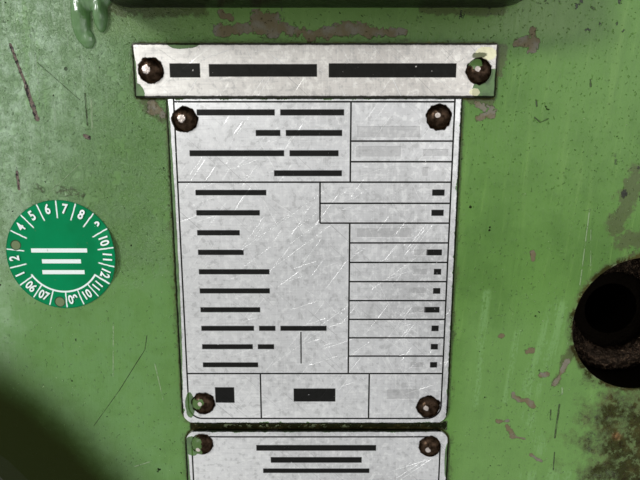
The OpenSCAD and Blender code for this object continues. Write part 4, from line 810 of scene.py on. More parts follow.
# %% Aluminium sheet
class Sheet(Layers):
    """The layers of one aluminium plate."""

    def __init__(self, name, box, tones, seed):
        self.f = Finish(name)
        f = self.f
        self.wall = SidePlane(f, 1600.0)
        self.seed = seed
        self.edge = self.wall.inside(*box, 0.6)
        stipple = f.noise(560.0, 2.0, 0.6, shift=seed)
        weft = f.noise(1.0, 2.0, 0.6, stretch=(60.0, 120.0, 1900.0), shift=seed + 1.0)
        warp = f.noise(1.0, 2.0, 0.6, stretch=(60.0, 1900.0, 120.0), shift=seed + 2.0)
        cloud = f.noise(30.0, 4.0, 0.62, shift=seed + 3.0)
        middle, dull, bright = tones
        lit = self.wall.y.ramp(86.0, 2.0)
        colour = f.blend(cloud.ramp(0.36, 0.66), middle, dull)
        colour = f.blend(lit * 0.55, colour, bright)
        colour = f.blend(stipple.ramp(0.54, 0.64) * 0.50, colour, bright)
        colour = f.blend(stipple.ramp(0.44, 0.34) * 0.34, colour, (0.30, 0.30, 0.29))
        colour = f.blend(weft.ramp(0.50, 0.72) * 0.22, colour, (0.34, 0.34, 0.33))
        colour = f.blend(warp.ramp(0.50, 0.72) * 0.26, colour, bright)
        fine = [f.scratches(angle, seed + 5.0 + angle, 0.71, 0.76) for angle in (0.6, 1.1, 2.2, 2.8)]
        long_ones = [f.scratches(angle, seed + 9.0, 0.735, 0.765, 60.0, 0.28) for angle in (0.9, 2.5)]
        self.marks = highest(fine + long_ones)
        self.colour = f.blend(self.marks * 0.50, colour, (0.88, 0.88, 0.86))
        grey = f.scratches(0.75, seed + 12.0, 0.71, 0.77, 30.0, 0.30)
        self.tint(grey * 0.45, (0.24, 0.24, 0.23))
        self.height = stipple * 0.35 + weft * 0.3 + warp * 0.3 + cloud * 1.5 - self.marks * 0.6
        self.black = None
        self.paint = None

    def print_ink(self, marks, strength=0.985):
        worn = self.f.noise(900.0, 2.0, 0.6, shift=self.seed + 11.0).ramp(0.80, 0.72)
        self.black = highest(marks) * worn * strength
        self.tint(self.black, (0.008, 0.008, 0.007))

    def stamp(self, marks):
        """Faint struck marks: a dark lower edge in the metal."""
        pressed = highest(marks)
        self.tint(pressed * 0.28, (0.20, 0.195, 0.19))
        self.height = self.height - pressed * 1.5

    def stain(self, blots, tear, amount, inner, strength, tone):
        """Torn spots of one tone on the metal, full inside the inner share of their size."""
        spots = self.wall.blots(blots) + (tear - 0.5) * amount
        self.tint(spots.ramp(1.05, inner) * strength, tone)

    def halo(self, places, reach):
        lobes = self.f.noise(620.0, 1.0, 0.5, shift=self.seed + 13.0) - 0.5
        ring = self.wall.dots((y, z, reach) for y, z in places)
        tar = (ring + lobes * 0.36).ramp(1.05, 0.97)
        self.tint(tar, (0.010, 0.007, 0.004))
        self.black = self.black.high(tar)

    def splash(self, blots, fringe):
        """Green paint over the plate's edge, with ragged inner ends."""
        tear = self.f.noise(240.0, 5.0, 0.72, shift=self.seed + 15.0) - 0.5
        spots = self.wall.blots(blots) + tear * 0.5
        thin = (self.edge + fringe + tear * 3.4).ramp(-0.1, 0.1) if fringe else 0.0
        self.paint = spots.ramp(1.04, 0.98).high(thin)
        cloud = self.f.noise(300.0, 3.0, shift=self.seed).ramp(0.4, 0.6)
        shade = self.f.blend(cloud, (0.078, 0.175, 0.036), (0.045, 0.105, 0.020))
        self.tint(self.paint * 0.95, shade)
        self.height = self.height + self.paint * 1.6

    def close(self):
        tear = self.f.noise(500.0, 4.0, 0.7, shift=self.seed + 17.0) - 0.5
        # A dark rim along the plate's edge: partly dirt, partly painted shadow of the edge.
        rim = (self.edge + tear * 0.5).ramp(-0.62, -0.42)
        colour = self.f.blend(rim * 0.95, self.colour, (0.009, 0.009, 0.006))
        dark = rim.high(self.black)
        metal = (0.62 + dark * 0.38) * (1.0 - self.paint * (1.0 - dark))
        rough = 0.38 + dark * 0.12 - self.marks * 0.08
        return self.f.finish(colour, rough, metal, self.f.bump(self.height, 0.05))


def row(z, y0, y1, half=0.24):
    return lambda wall: wall.bar(y0, y1, z - half, z + half)


def post(y, z0, z1, half=0.24):
    return lambda wall: wall.bar(y - half, y + half, z0, z1)


def word(y0, y1, z, half):
    return lambda wall: wall.bar(y0, y1, z - half, z + half, 0.12)


print("sheet class ready")

# %% [markdown]
# The data plate is a form: a ruled frame, a column of fields on the right and three boxes at the foot.
# The rows are evenly spaced, so most of the rules come from one step.

# %% Data plate
RULE_Y0, RULE_Y1, RULE_Z0, RULE_Z1 = 15.2, 94.0, 1145.5, 1241.6
FIELD_Y = 64.9
WIDE_FIELD_Y = 56.2
ROW_STEP = 5.87
FIRST_ROW_Z = 1216.2
data_rules = [row(1230.8, FIELD_Y, RULE_Y1), row(1225.0, FIELD_Y, RULE_Y1)]
data_rules += [row(1219.2, RULE_Y0, RULE_Y1), row(1160.5, RULE_Y0, RULE_Y1)]
data_rules += [row(1213.1, WIDE_FIELD_Y, RULE_Y1), row(1207.3, WIDE_FIELD_Y, RULE_Y1)]
data_rules += [row(1207.3 - ROW_STEP * k, FIELD_Y, RULE_Y1) for k in range(1, 8)]
data_rules += [post(FIELD_Y, 1219.2, RULE_Z1), post(WIDE_FIELD_Y, 1207.3, 1219.2)]
data_rules += [post(FIELD_Y, 1160.5, 1207.3), post(37.8, RULE_Z0, 1160.5), post(71.4, RULE_Z0, 1160.5)]
data_rules.append(post(50.4, 1163.8, 1174.0, 0.2))
HEAD_WORDS = [(21.5, (22.0, 18.0)), (38.0, (7.0, 16.0)), (19.0, (27.0, 14.0)), (43.0, (19.5,))]
ROW_WORDS = [
    (20.5,), (18.5,), (12.5,), (13.5,), (21.0,), (21.0,), (18.0,), (16.0, 5.0, 14.0), (15.5, 5.0), (17.0,),
]
UNIT_WORDS = [3.6, 3.6, 0.0, 4.6, 2.2, 2.2, 4.6, 2.2, 2.2, 2.2]


def word_line(start, lengths, z, half):
    bars = []
    for length in lengths:
        bars.append(word(start, start + length, z, half))
        start += length + 1.5
    return bars


data_words = []
for k, (start, lengths) in enumerate(HEAD_WORDS):
    data_words += word_line(start, lengths, 1238.7 - 5.65 * k, 0.85)
for k, lengths in enumerate(ROW_WORDS):
    data_words += word_line(20.2, lengths, FIRST_ROW_Z - ROW_STEP * k, 0.8)
for k, length in enumerate(UNIT_WORDS):
    if length:
        data_words.append(word(92.2 - length, 92.2, FIRST_ROW_Z - ROW_STEP * k, 0.9))
data_words += [word(23.6, 29.6, 1153.4, 2.6), word(48.0, 61.0, 1153.4, 2.2)]
data_stamps = [word(66.6, 84.6, 1233.4, 1.5), word(66.4, 79.4, 1227.9, 1.4), word(85.6, 92.8, 1227.6, 0.9)]
data_stamps += [word(67.0, 83.0, 1204.4, 1.3), word(85.6, 87.2, 1222.2, 1.2), word(77.0, 87.0, 1153.6, 1.6)]
data_stamps += [word(84.0, 88.0, FIRST_ROW_Z - ROW_STEP * k, 0.9) for k in (3, 4, 5, 6, 9)]

DATA_SCREWS = [(18.1, 1236.8), (89.7, 1237.4), (19.8, 1150.6), (90.0, 1149.4)]
SILVER = ((0.66, 0.66, 0.655), (0.53, 0.53, 0.525), (0.84, 0.84, 0.82))
data_sheet = Sheet("data_plate_metal", DATA_BOX, SILVER, 3.0)
data_rules.append(row(RULE_Z1, RULE_Y0, RULE_Y1))
data_frame = data_sheet.wall.frame_line(RULE_Y0, RULE_Y1, RULE_Z0, RULE_Z1 + 20.0, 4.2, 0.24)
data_sheet.print_ink([data_frame] + [mark(data_sheet.wall) for mark in data_rules + data_words])
data_sheet.stamp([mark(data_sheet.wall) for mark in data_stamps])
data_sheet.splash([(13.2, 1200.0, 1.1, 46.0), (96.3, 1190.0, 0.6, 40.0), (15.6, 1150.0, 1.5, 4.2)], 0.4)
data_sheet.halo(DATA_SCREWS, 3.65)
data_metal = data_sheet.close()
print("ruled lines", len(data_rules), "plain bars", len(data_words))

# %% Title strip and lower plate
STRIP_SCREWS = [(9.2, 1250.0), (100.3, 1249.8)]
WARM_SILVER = ((0.64, 0.61, 0.565), (0.55, 0.52, 0.48), (0.88, 0.86, 0.80))
strip_sheet = Sheet("title_strip_metal", STRIP_BOX, WARM_SILVER, 17.0)
strip_words = [word(14.5, 23.0, 1250.0, 1.9), word(25.4, 55.4, 1250.0, 1.7), word(58.6, 94.0, 1250.0, 1.9)]
strip_sheet.print_ink([mark(strip_sheet.wall) for mark in strip_words])
STRIP_PAINT = [
    (4.2, 1243.2, 3.0, 3.4), (4.0, 1250.0, 1.3, 6.5), (18.5, 1257.4, 4.6, 1.7), (106.4, 1244.6, 7.4, 6.2),
]
strip_sheet.splash(STRIP_PAINT, 0.0)
coarse_tear = strip_sheet.f.noise(300.0, 4.0, 0.7, shift=2.0)
fine_tear = strip_sheet.f.noise(420.0, 4.0, 0.7, shift=5.0)
CREAM_SPOTS = [(102.0, 1254.4, 3.0, 1.9), (99.4, 1244.2, 1.5, 1.1)]
strip_sheet.stain(CREAM_SPOTS, coarse_tear, 1.2, 0.95, 0.8, (0.72, 0.70, 0.44))
strip_sheet.stain([(100.4, 1254.0, 2.3, 0.8)], fine_tear, 2.0, 0.85, 0.85, (0.050, 0.066, 0.018))
strip_sheet.halo(STRIP_SCREWS, 3.6)
strip_metal = strip_sheet.close()

TYPE_SCREWS = [(18.9, 1136.7), (91.0, 1135.9), (19.0, 1073.0), (91.0, 1073.0)]
type_sheet = Sheet("type_plate_metal", TYPE_BOX, SILVER, 29.0)
type_words = [word(36.0, 74.0, 1135.4, 1.0), word(40.5, 69.5, 1131.2, 1.0), word(38.0, 72.0, 1127.4, 0.8)]
type_words += [word(24.0, 50.0 + 9.0 * (k % 2), 1120.0 - 5.2 * k, 0.8) for k in range(9)]
type_words += [row(1123.6, 15.6, 94.3), post(64.0, TYPE_BOX[2] + 2.2, 1123.6)]
type_frame = type_sheet.wall.frame_line(15.6, 94.3, TYPE_BOX[2] + 2.2, TYPE_BOX[3] - 2.2, 4.2, 0.24)
type_sheet.print_ink([type_frame] + [mark(type_sheet.wall) for mark in type_words])
type_sheet.splash([(15.6, 1136.0, 2.6, 3.4), (13.8, 1110.0, 0.9, 30.0), (96.6, 1131.0, 0.7, 6.0)], 0.4)
type_sheet.halo(TYPE_SCREWS, 3.45)
type_metal = type_sheet.close()
print("plate metals", 3)

# %% [markdown]
# The plates themselves are thin sheet with rounded corners, but the data plate's top is cut square where
# it meets the title strip. Each is cut from a flat block: the short edges at its corners are bevelled to
# the corner radius, the rim gets a fine slope, and the face is divided so that it can dip a little round
# its screws, as sheet does when a nail is hammered through it.

# %% Plate sheets
PLATE_THICK = 1.0


def thin_plate(box, radius, screws, square_top=False):
    y0, y1, z0, z1 = box
    highest_round = (z0 + z1) / 2 * MM if square_top else math.inf
    clear_selection()
    bpy.ops.mesh.primitive_cube_add(size=1.0)
    plate = bpy.context.object
    plate.scale = (PLATE_THICK * MM, (y1 - y0) * MM, (z1 - z0) * MM)
    plate.location = ((SIDE_X + PLATE_THICK / 2) * MM, (y0 + y1) / 2 * MM, (z0 + z1) / 2 * MM)
    keep_place()
    edit(plate)
    upright = 0.5 * PLATE_THICK * MM
    choose("EDGE", lambda side: abs(side.verts[0].co.x - side.verts[1].co.x) > upright
           and side.verts[0].co.z < highest_round)
    bpy.ops.mesh.bevel(offset=radius * MM, segments=8)
    choose("FACE", lambda face: face.normal.x > 0.9)
    bpy.ops.mesh.inset(thickness=0.25 * MM)
    bpy.ops.transform.translate(value=(0.08 * MM, 0, 0))
    for step in range(1, 24):
        cut = (y0 + (y1 - y0) * step / 24) * MM
        choose("FACE", lambda face: face.normal.x > 0.99)
        bpy.ops.mesh.bisect(plane_co=(0, cut, 0), plane_no=(0, 1, 0))
    for step in range(1, 12):
        cut = (z0 + (z1 - z0) * step / 12) * MM
        choose("FACE", lambda face: face.normal.x > 0.99)
        bpy.ops.mesh.bisect(plane_co=(0, 0, cut), plane_no=(0, 0, 1))
    reach = 6.5 * MM
    top = (SIDE_X + PLATE_THICK) * MM
    for y, z in screws:
        spot = Vector((top, y * MM, z * MM))
        choose("VERT", lambda corner: corner.co.x > top and (corner.co - spot).length < reach)
        if any(corner.select for corner in bmesh.from_edit_mesh(plate.data).verts):
            bpy.ops.transform.translate(value=(-0.10 * MM, 0, 0))
    leave_edit()
    return plate

# %% [markdown]
# ## Other metals, rubber and plastic
# Each remaining surface gets the finish its maker gave it: turned or ground steel, black bolts, bronze
# bushes, a ground table top with light rust, rubber belts and moulded plastic. One function covers the
# bare metals, because they differ only in colour, gloss and the direction of their tool marks.

# %% Metal finishes
def bare_metal(name, tones, rough, metal, stretch, depth=0.03, stain=(0.35, (0.14, 0.08, 0.04))):
    f = Finish(name)
    lay = f.noise(1.0, 3.0, 0.6, stretch=stretch)
    cloud = f.noise(26.0, 5.0, 0.6, shift=3.0)
    spots = f.noise(110.0, 5.0, 0.7, shift=5.0).ramp(0.60, 0.72) * stain[0]
    shade = f.blend(cloud.ramp(0.35, 0.7), tones[0], tones[1])
    shade = f.blend(lay.ramp(0.5, 0.8) * 0.3, shade, tuple(0.6 * c for c in tones[0]))
    shade = f.blend(spots, shade, stain[1])
    gloss = rough + lay * 0.12 + spots * 0.3 - 0.05
    return f.finish(shade, gloss, metal - spots * 0.5 * metal, f.bump(lay * 0.5 + cloud, depth))


ALONG_Y = (500.0, 70.0, 500.0)
ALL_WAYS = (220.0, 220.0, 220.0)
ALONG_BOTH = (700.0, 60.0, 60.0)
turned_steel = bare_metal("turned_steel", ((0.50, 0.50, 0.49), (0.38, 0.37, 0.35)), 0.30, 0.9, ALONG_Y)
ground_steel = bare_metal("ground_steel", ((0.44, 0.44, 0.43), (0.33, 0.32, 0.30)), 0.34, 0.85, ALONG_BOTH)
dark_steel = bare_metal("dark_steel", ((0.070, 0.066, 0.060), (0.12, 0.11, 0.095)), 0.42, 0.75, ALL_WAYS)
grey_iron = bare_metal("grey_iron", ((0.20, 0.20, 0.19), (0.15, 0.145, 0.135)), 0.5, 0.6, ALL_WAYS, 0.08)
bronze = bare_metal("bronze", ((0.50, 0.32, 0.13), (0.40, 0.25, 0.10)), 0.34, 0.9, (400.0, 60.0, 400.0))
brass = bare_metal("brass", ((0.56, 0.42, 0.16), (0.42, 0.31, 0.12)), 0.32, 0.9, (300.0, 300.0, 60.0))
print("metals", 6)


# %% Enamel and plastic
def machine_enamel(name, colour):
    f = Finish(name)
    cloud = f.noise(22.0, 5.0, 0.6)
    peel = f.noise(700.0, 2.0, shift=2.0)
    chips = f.noise(75.0, 5.0, 0.65, shift=7.0).ramp(0.70, 0.715)
    dust = f.noise(14.0, 6.0, 0.7, shift=8.0).ramp(0.5, 0.8) * 0.35
    shade = f.blend(cloud.ramp(0.35, 0.75), colour, tuple(0.72 * c for c in colour))
    shade = f.blend(chips, shade, (0.10, 0.09, 0.08))
    shade = f.blend(dust, shade, (0.20, 0.17, 0.12))
    height = peel * 0.3 + cloud - chips * 2.0
    return f.finish(shade, 0.38 + dust * 0.6 + chips * 0.2, 0.0, f.bump(height, 0.08))


def moulded(name, colour, rough, film=0.5):
    f = Finish(name)
    grain = f.noise(1100.0, 2.0)
    dull = f.noise(40.0, 5.0, 0.65, shift=3.0).ramp(0.45, 0.8) * film
    shade = f.blend(dull, colour, tuple(0.55 * c + 0.03 for c in colour))
    return f.finish(shade, rough + dull * 0.3, 0.0, f.bump(grain, 0.03))


dark_enamel = machine_enamel("dark_enamel", (0.060, 0.080, 0.060))
motor_enamel = machine_enamel("motor_enamel", (0.075, 0.120, 0.085))
wheel_enamel = machine_enamel("wheel_enamel", (0.070, 0.090, 0.070))
black_plastic = moulded("black_plastic", (0.018, 0.018, 0.019), 0.36)
grey_plastic = moulded("switchgear_grey", (0.36, 0.36, 0.34), 0.45)
green_button = moulded("button_green", (0.02, 0.16, 0.045), 0.28, 0.3)
red_button = moulded("button_red", (0.42, 0.018, 0.012), 0.28, 0.3)
belt_rubber = moulded("belt_rubber", (0.016, 0.016, 0.016), 0.62, 0.8)
print("finishes", len(bpy.data.materials))

# %% [markdown]
# ## Dressing the solids
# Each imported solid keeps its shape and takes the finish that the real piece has.

# %% Finish for every solid
DRESS = {
    casting_green: ["frame"],
    cover_green: ["side_cover"],
    machine_green: ["front_cover", "rear_cover", "motor_bracket", "belt_guard", "pedal_bracket", "table"],
    cabinet_green: ["cabinet", "cabinet_door"],
    motor_enamel: ["motor_body", "motor_fan_cover", "motor_terminal_box"],
    wheel_enamel: ["flywheel"],
    dark_enamel: ["guard_brackets", "con_rod", "rod_guide", "pedal_lever", "clutch_lever", "button_box"],
    turned_steel: ["crankshaft", "stroke_ring", "ball_screw", "clutch_pivot", "table_spindle", "pull_rod",
                   "return_spring", "clutch_collar", "brake_drum"],
    ground_steel: ["bolster_plate", "ram"],
    grey_iron: ["left_gib", "right_gib", "motor_pulley"],
    bronze: ["front_bush", "rear_bush", "flywheel_bush", "stroke_bush"],
    brass: ["oil_cups"],
    strip_metal: ["title_strip"],
    data_metal: ["data_plate"],
    type_metal: ["type_plate"],
    belt_rubber: ["v_belts"],
    grey_plastic: ["contactor"],
    black_plastic: ["main_switch"],
    green_button: ["start_button", "test_sticker"],
    red_button: ["stop_button"],
}
finish_of = {node: material for material, nodes in DRESS.items() for node in nodes}
for name, thing in cad.items():
    thing.data.materials.clear()
    thing.data.materials.append(finish_of.get(name, dark_steel))
print("dressed solids", len(cad))

# %% Three plates on the wall
strip_plate = thin_plate(STRIP_BOX, 0.8, STRIP_SCREWS)
data_plate = thin_plate(DATA_BOX, 4.6, DATA_SCREWS, square_top=True)
type_plate = thin_plate(TYPE_BOX, 4.6, TYPE_SCREWS)
PLATES = [
    (strip_plate, "title_strip", strip_metal), (data_plate, "data_plate", data_metal),
    (type_plate, "type_plate", type_metal),
]
for plate, node, metal in PLATES:
    settle(plate, node + "_sheet", metal, replaced=node)

# %% [markdown]
# ## The drive screws
# A drive screw is a hardened nail with a low round head that is hammered through the plate. Ten of them hold
# the three plates. One head is modelled from half a sphere, with a short skirt and a struck flat on its
# crown, and a second, smoother one is made the same way. The copies are turned so that no two catch the light
# alike. Old oil has browned them nearly black. A small light spot on each crown is partly rubbed bare metal
# and partly a painted highlight. A few were touched by the green brush.

# %% Browned steel of the screws
ALL_SCREWS = STRIP_SCREWS + DATA_SCREWS + TYPE_SCREWS
RUBBED_SPOTS_AND_HIGHLIGHTS = [
    (8.6, 1250.0, 1.15), (99.3, 1250.1, 0.75), (17.7, 1236.9, 1.10), (88.9, 1237.8, 0.80),
    (19.2, 1151.4, 0.70), (88.9, 1150.0, 0.80), (18.0, 1136.0, 0.75), (90.0, 1135.9, 0.85),
    (18.3, 1073.6, 0.70), (90.3, 1073.6, 0.70),
]
TOUCHED_GREEN = [
    (98.9, 1251.7, 1.5), (18.0, 1151.0, 1.5), (19.4, 1151.9, 1.0), (17.4, 1137.6, 1.9), (18.1, 1134.9, 1.2),
]


def browned_steel():
    f = Finish("drive_screw_brown")
    plane = SidePlane(f, 1600.0)
    cloud = f.noise(700.0, 3.0, 0.6)
    tear = (f.noise(1500.0, 3.0, 0.65, shift=4.0) - 0.5) * 0.9
    shade = f.blend(cloud.ramp(0.35, 0.65), (0.016, 0.010, 0.006), (0.050, 0.032, 0.021))
    paint = (plane.dots(TOUCHED_GREEN) + tear * 1.4).ramp(1.05, 0.95)
    shade = f.blend(paint * 0.85, shade, (0.085, 0.165, 0.045))
    # Light crown spots that face outwards: partly rubbed bare metal, partly painted highlight.
    rubbed_and_highlit = (plane.dots(RUBBED_SPOTS_AND_HIGHLIGHTS) + tear).ramp(1.10, 0.70) * f.facing(0).ramp(0.45, 0.75)
    shade = f.blend(rubbed_and_highlit * 0.9, shade, (0.62, 0.55, 0.50))
    return f.finish(shade, 0.30 + cloud * 0.14, 1.0 - paint, f.bump(cloud, 0.10), edge=0.35)


screw_brown = browned_steel()
HEAD_R = 3.42
HEAD_RISE = 0.66


def screw_head(flat_top, roughness, seed):
    clear_selection()
    bpy.ops.mesh.primitive_uv_sphere_add(segments=32, ring_count=16, radius=HEAD_R * MM)
    head = bpy.context.object
    edit(head)
    choose_all()
    bpy.ops.mesh.bisect(plane_co=(0, 0, 0.00002), plane_no=(0, 0, 1), clear_inner=True)
    choose_all()
    bpy.ops.transform.resize(value=(1, 1, HEAD_RISE), center_override=(0, 0, 0))
    choose("VERT", lambda corner: corner.co.z > flat_top * HEAD_R * MM * HEAD_RISE)
    bpy.ops.transform.resize(value=(1, 1, 0.12), center_override=(0, 0, flat_top * HEAD_R * MM * HEAD_RISE))
    choose("EDGE", lambda side: side.is_boundary)
    bpy.ops.mesh.extrude_edges_move(TRANSFORM_OT_translate={"value": (0, 0, -0.15 * MM)})
    bpy.ops.transform.resize(value=(1.05, 1.05, 1), center_override=(0, 0, 0))
    choose("VERT", lambda corner: corner.co.z > 0.0002)
    dent(roughness, seed)
    leave_edit()
    head.modifiers.new("round", "SUBSURF").levels = 1
    return head


worn_head = screw_head(0.92, 0.10, 4)
smooth_head = screw_head(0.975, 0.06, 9)
screws = []
for index, (y, z) in enumerate(ALL_SCREWS):
    head = twin(worn_head if z > 1200.0 else smooth_head)
    turn = FACE_OUT @ Matrix.Rotation(index * 1.3, 4, "Z")
    screws.append(put(head, (SIDE_X + 1.0, y, z), turn))
for pattern in (worn_head, smooth_head):
    bpy.data.objects.remove(pattern)
for head in screws:
    apply_modifiers(head)
heads = join(screws)
settle(heads, "drive_screw_heads", screw_brown, replaced="plate_rivets", angle=60.0)

# %% [markdown]
# ## The test sticker
# A round plastic label, stuck on by an inspector: a ring of month numbers, a part ring of years, and
# two round holes punched through. Its text is left out and stands as three plain bars, and the plain
# numbers stay. The right edge has let go of the wall, so the disc is a flat mesh with rings, and the
# edge is pulled off the wall with a soft fall-off.

# %% Sticker disc
STICKER_Y = -20.6
STICKER_Z = 1197.6
STICKER_R = 16.4
SECTOR = 20.6
YEAR_SECTOR = 18.7
FIRST_EDGE = 214.7
STICKER_WHITE = (0.90, 0.96, 0.92)


def on_sticker(share, degrees):
    """A place on the wall at a share of the sticker's radius and an angle round its middle."""
    angle = math.radians(degrees)
    reach = share * STICKER_R
    return (STICKER_Y + reach * math.cos(angle), STICKER_Z + reach * math.sin(angle))


def sticker_print():
    f = Finish("sticker_print")
    plane = SidePlane(f)
    y = plane.y - STICKER_Y
    z = plane.z - STICKER_Z
    reach = plane.blot(STICKER_Y, STICKER_Z, STICKER_R, STICKER_R)
    lines = []
    for k in range(13):
        angle = FIRST_EDGE - SECTOR * k
        lines.append(plane.stroke(on_sticker(0.66, angle), on_sticker(1.01, angle), 0.27))
    for k in range(1, 7):
        angle = FIRST_EDGE + YEAR_SECTOR * k
        lines.append(plane.stroke(on_sticker(0.68, angle), on_sticker(1.0, angle), 0.26))
    arc = abs(reach - 0.685).ramp(0.020, 0.012) * (z + abs(y) * 0.62).ramp(0.3, -0.3)
    bars = [(-8.9, 7.7, 1.4), (-6.0, 5.6, -1.9), (-6.2, 6.4, -5.2)]
    half = 0.62
    for y0, y1, middle in bars:
        foot = STICKER_Z + middle - half
        lines.append(plane.bar(STICKER_Y + y0, STICKER_Y + y1, foot, foot + 2 * half))
    printed = highest(lines).high(arc)
    cloud = f.noise(60.0, 4.0, 0.6)
    green = f.blend(cloud.ramp(0.35, 0.7), (0.001, 0.235, 0.082), (0.001, 0.190, 0.062))
    colour = f.blend(printed * 0.96, green, STICKER_WHITE)
    holes = plane.dots([(-33.9, 1200.6, 1.45), (-22.4, 1183.2, 1.5)])
    colour = f.blend(holes.ramp(1.05, 0.98), colour, (0.17, 0.22, 0.11))
    colour = f.blend(abs(holes - 1.0).ramp(0.16, 0.06) * 0.8, colour, (0.02, 0.05, 0.02))
    dirt = (f.noise(500.0, 3.0, 0.6, shift=4.0)).ramp(0.68, 0.73) * 0.35
    colour = f.blend(dirt, colour, (0.10, 0.16, 0.08))
    rim = reach.ramp(0.975, 0.995) * 0.5
    colour = f.blend(rim, colour, (0.004, 0.09, 0.03))
    height = cloud - holes.ramp(1.1, 0.9) * 2.0
    return f.finish(colour, 0.32 + cloud * 0.1, 0.0, f.bump(height, 0.06), shine=0.08)


sticker_finish = sticker_print()
clear_selection()
bpy.ops.mesh.primitive_circle_add(vertices=96, radius=STICKER_R * MM, fill_type="NGON")
disc = bpy.context.object
edit(disc)
choose_all()
for _ in range(6):
    bpy.ops.mesh.inset(thickness=2.2 * MM)
bpy.ops.mesh.poke()
leave_edit()
put(disc, (SIDE_X + 0.06, STICKER_Y, STICKER_Z), FACE_OUT)
keep_place()
edit(disc)
choose("VERT", lambda corner: corner.co.y > (STICKER_Y + STICKER_R * 0.97) * MM)
bpy.ops.transform.translate(
    value=(1.1 * MM, 0, 0), use_proportional_edit=True, proportional_edit_falloff="SMOOTH",
    proportional_size=6.5 * MM)
leave_edit()
wall_thickness = disc.modifiers.new("film", "SOLIDIFY")
wall_thickness.thickness = 0.14 * MM
wall_thickness.offset = 1.0
settle(disc, "sticker_disc", sticker_finish, replaced="test_sticker", angle=50.0)

# %% Plain numbers on the sticker
def white_ink():
    f = Finish("sticker_ink")
    worn = f.noise(260.0, 3.0)
    colour = f.blend(worn.ramp(0.4, 0.7), STICKER_WHITE, (0.78, 0.86, 0.80))
    return f.finish(colour, 0.4, 0.0, f.bump(worn, 0.02), shine=0.08)


NUMBER_RING = 0.845


def number(text, height, angle, upright):
    """A number set on the ring, its top outward, or inward along the foot."""
    clear_selection()
    bpy.ops.object.text_add()
    label = bpy.context.object
    label.data.body = text
    label.data.size = height * MM
    label.data.align_x = "CENTER"
    label.data.align_y = "CENTER"
    label.data.offset = 0.030 * height * MM
    bpy.ops.object.convert(target="MESH")
    label = bpy.context.object
    lean = math.radians(angle) + (math.pi / 2 if upright else -math.pi / 2)
    place = (SIDE_X + 1.6, *on_sticker(NUMBER_RING, angle))
    stand = Matrix(((0, 0, 1, 0), (1, 0, 0, 0), (0, 1, 0, 0), (0, 0, 0, 1)))
    slim = Matrix.Scale(0.78, 4, (1, 0, 0))
    return put(label, place, stand @ Matrix.Rotation(lean, 4, "Z") @ slim)


ring_numbers = []
for month in (1, 2, 4, 5, 6, 7, 8, 9, 10, 11, 12):
    middle = FIRST_EDGE - SECTOR * (month - 0.5)
    ring_numbers.append(number(str(month), 4.0, middle, False))
for index, year in enumerate(("06", "07", "", "09", "10", "11")):
    if year:
        ring_numbers.append(number(year, 3.7, FIRST_EDGE + YEAR_SECTOR * (index + 0.5), True))
figures = join(ring_numbers)
keep_place()
cling = figures.modifiers.new("cling", "SHRINKWRAP")
cling.target = disc
cling.wrap_method = "PROJECT"
cling.use_project_x = True
cling.use_project_y = False
cling.use_project_z = False
cling.use_negative_direction = True
cling.use_positive_direction = False
cling.offset = 0.30 * MM
settle(figures, "sticker_numbers", white_ink(), angle=30.0)

# %% [markdown]
# ## Grease in the spot face
# Old grease fills the foot of the spot face in black, glossy lumps, thickest at the lower right. It is
# a torus laid on the recess' floor round the inner bore, pulled out where it is thick, and roughened
# twice, first in lumps and then in crumbs.

# %% Black grease
def black_grease():
    f = Finish("black_grease")
    lumps = f.noise(640.0, 4.0, 0.7)
    crumbs = f.noise(1500.0, 2.0, 0.6, shift=3.0)
    colour = f.blend(lumps.ramp(0.44, 0.66), (0.016, 0.011, 0.007), (0.075, 0.050, 0.032))
    return f.finish(colour, 0.12 + lumps * 0.08, 0.9, f.bump(lumps + crumbs * 0.8, 0.9), edge=0.60)


grease_finish = black_grease()
clear_selection()
bpy.ops.mesh.primitive_torus_add(
    location=(135.0 * MM, SPOT_Y * MM, SPOT_Z * MM), rotation=(0, math.pi / 2, 0),
    major_segments=120, minor_segments=22, major_radius=16.8 * MM, minor_radius=4.0 * MM)
bed = bpy.context.object
keep_place()
edit(bed)
choose_all()
bpy.ops.transform.resize(value=(0.62, 1, 1), center_override=(134.5 * MM, SPOT_Y * MM, SPOT_Z * MM))
thick_side = (SPOT_Y - SPOT_Z + 14.0) * MM
choose("VERT", lambda corner: corner.co.x > 137.2 * MM and corner.co.y - corner.co.z > thick_side)
bpy.ops.transform.translate(
    value=(3.4 * MM, 0, 0), use_proportional_edit=True, proportional_edit_falloff="SMOOTH",
    proportional_size=8.0 * MM)
choose("VERT", lambda corner: corner.co.x > 135.0 * MM)
dent(0.75, 3)
leave_edit()
bed.modifiers.new("lumps", "SUBSURF").levels = 1
apply_modifiers(bed)
edit(bed)
choose("VERT", lambda corner: corner.co.x > 135.0 * MM)
dent(0.30, 8)
settle(bed, "hole_grease", grease_finish, angle=80.0)

# %% [markdown]
# ## The paint drip
# Under the cover's left end the brush left too much paint, and it ran down in one thick tear with a
# folded right side. Four flattened spheres are melted into one lump with a voxel remesh.

# %% Paint drip
def thick_paint():
    f = Finish("thick_green_paint")
    cloud = f.noise(120.0, 4.0, 0.6)
    colour = f.blend(cloud.ramp(0.35, 0.65), (0.085, 0.200, 0.055), (0.150, 0.270, 0.120))
    wrinkles = f.noise(1.0, 3.0, 0.6, stretch=(300.0, 520.0, 120.0))
    return f.finish(colour, 0.16 + cloud * 0.1, 0.0, f.bump(wrinkles + cloud, 0.5), coat=0.5, coat_rough=0.08)


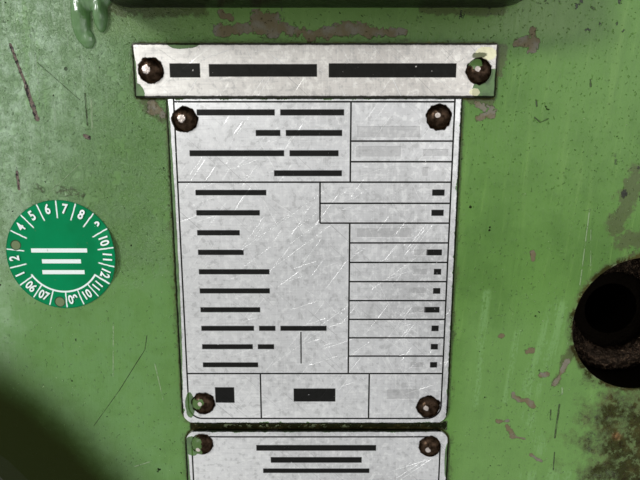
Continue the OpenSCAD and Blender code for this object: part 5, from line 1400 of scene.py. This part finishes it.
DRIP_LOBES = [
    (-9.4, 1264.4, 2.7, 7.4, 2.3), (-3.9, 1265.2, 2.0, 5.2, 2.6),
    (-8.0, 1258.4, 2.2, 2.6, 1.6), (-6.2, 1270.4, 6.6, 4.6, 2.4),
]
drops = []
for y, z, half_y, half_z, thick in DRIP_LOBES:
    clear_selection()
    bpy.ops.mesh.primitive_uv_sphere_add(segments=32, ring_count=20, radius=MM)
    drop = bpy.context.object
    drop.location = (SIDE_X * MM, y * MM, z * MM)
    drop.scale = (thick, half_y, half_z)
    drops.append(drop)
drip = join(drops)
keep_place()
melt = drip.modifiers.new("melt", "REMESH")
melt.mode = "VOXEL"
melt.voxel_size = 0.35 * MM
relax = drip.modifiers.new("relax", "SMOOTH")
relax.factor = 0.8
relax.iterations = 8
settle(drip, "paint_drip", thick_paint(), angle=80.0)

# %% [markdown]
# ## The return spring
# When the pedal is pressed, the collar on the pull rod rises 15 mm and closes the coil spring below the rod's
# guide. A solid spring can't do that, so a coil is wound here: a screw modifier carries a small circle seven
# times round the rod, and its two ends are filled.

# %% Return spring
SPRING_TURNS = 7
WIRE_R = 1.6
spring_low, spring_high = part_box("return_spring")
coil_middle = (spring_low + spring_high) / 2
coil_r = (spring_high.x - spring_low.x) / 2 - WIRE_R * MM
free_length = spring_high.z - spring_low.z
clear_selection()
bpy.ops.mesh.primitive_circle_add(
    vertices=12, radius=WIRE_R * MM, location=(coil_r, 0, 0), rotation=(math.pi / 2, 0, 0))
coil = bpy.context.object
keep_place()
winding = coil.modifiers.new("winding", "SCREW")
winding.screw_offset = (free_length - 2 * WIRE_R * MM) / SPRING_TURNS
winding.iterations = SPRING_TURNS
winding.steps = 32
winding.render_steps = 32
apply_modifiers(coil)
edit(coil)
choose_all()
bpy.ops.mesh.fill_holes(sides=0)
choose_all()
bpy.ops.mesh.normals_make_consistent(inside=False)
leave_edit()
coil.location = (coil_middle.x, coil_middle.y, spring_low.z + WIRE_R * MM)
settle(coil, "return_spring_coil", turned_steel, replaced="return_spring")
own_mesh(coil)

# %% [markdown]
# ## The floor
# A plain pale floor, on which the press stands and throws its shadow.

# %% Floor
clear_selection()
bpy.ops.mesh.primitive_plane_add(size=14.0, location=(0.0, 0.0, -0.0005))
floor = bpy.context.object
floor.name = "floor"
floor_finish = Finish("floor_pale")
floor_cloud = floor_finish.noise(2.0, 3.0)
floor_tone = floor_finish.blend(floor_cloud, (0.80, 0.80, 0.79), (0.77, 0.77, 0.76))
floor.data.materials.append(floor_finish.finish(floor_tone, 0.7))
print("floor laid")

# %% [markdown]
# ## The end

# %% End
print("scene finished")
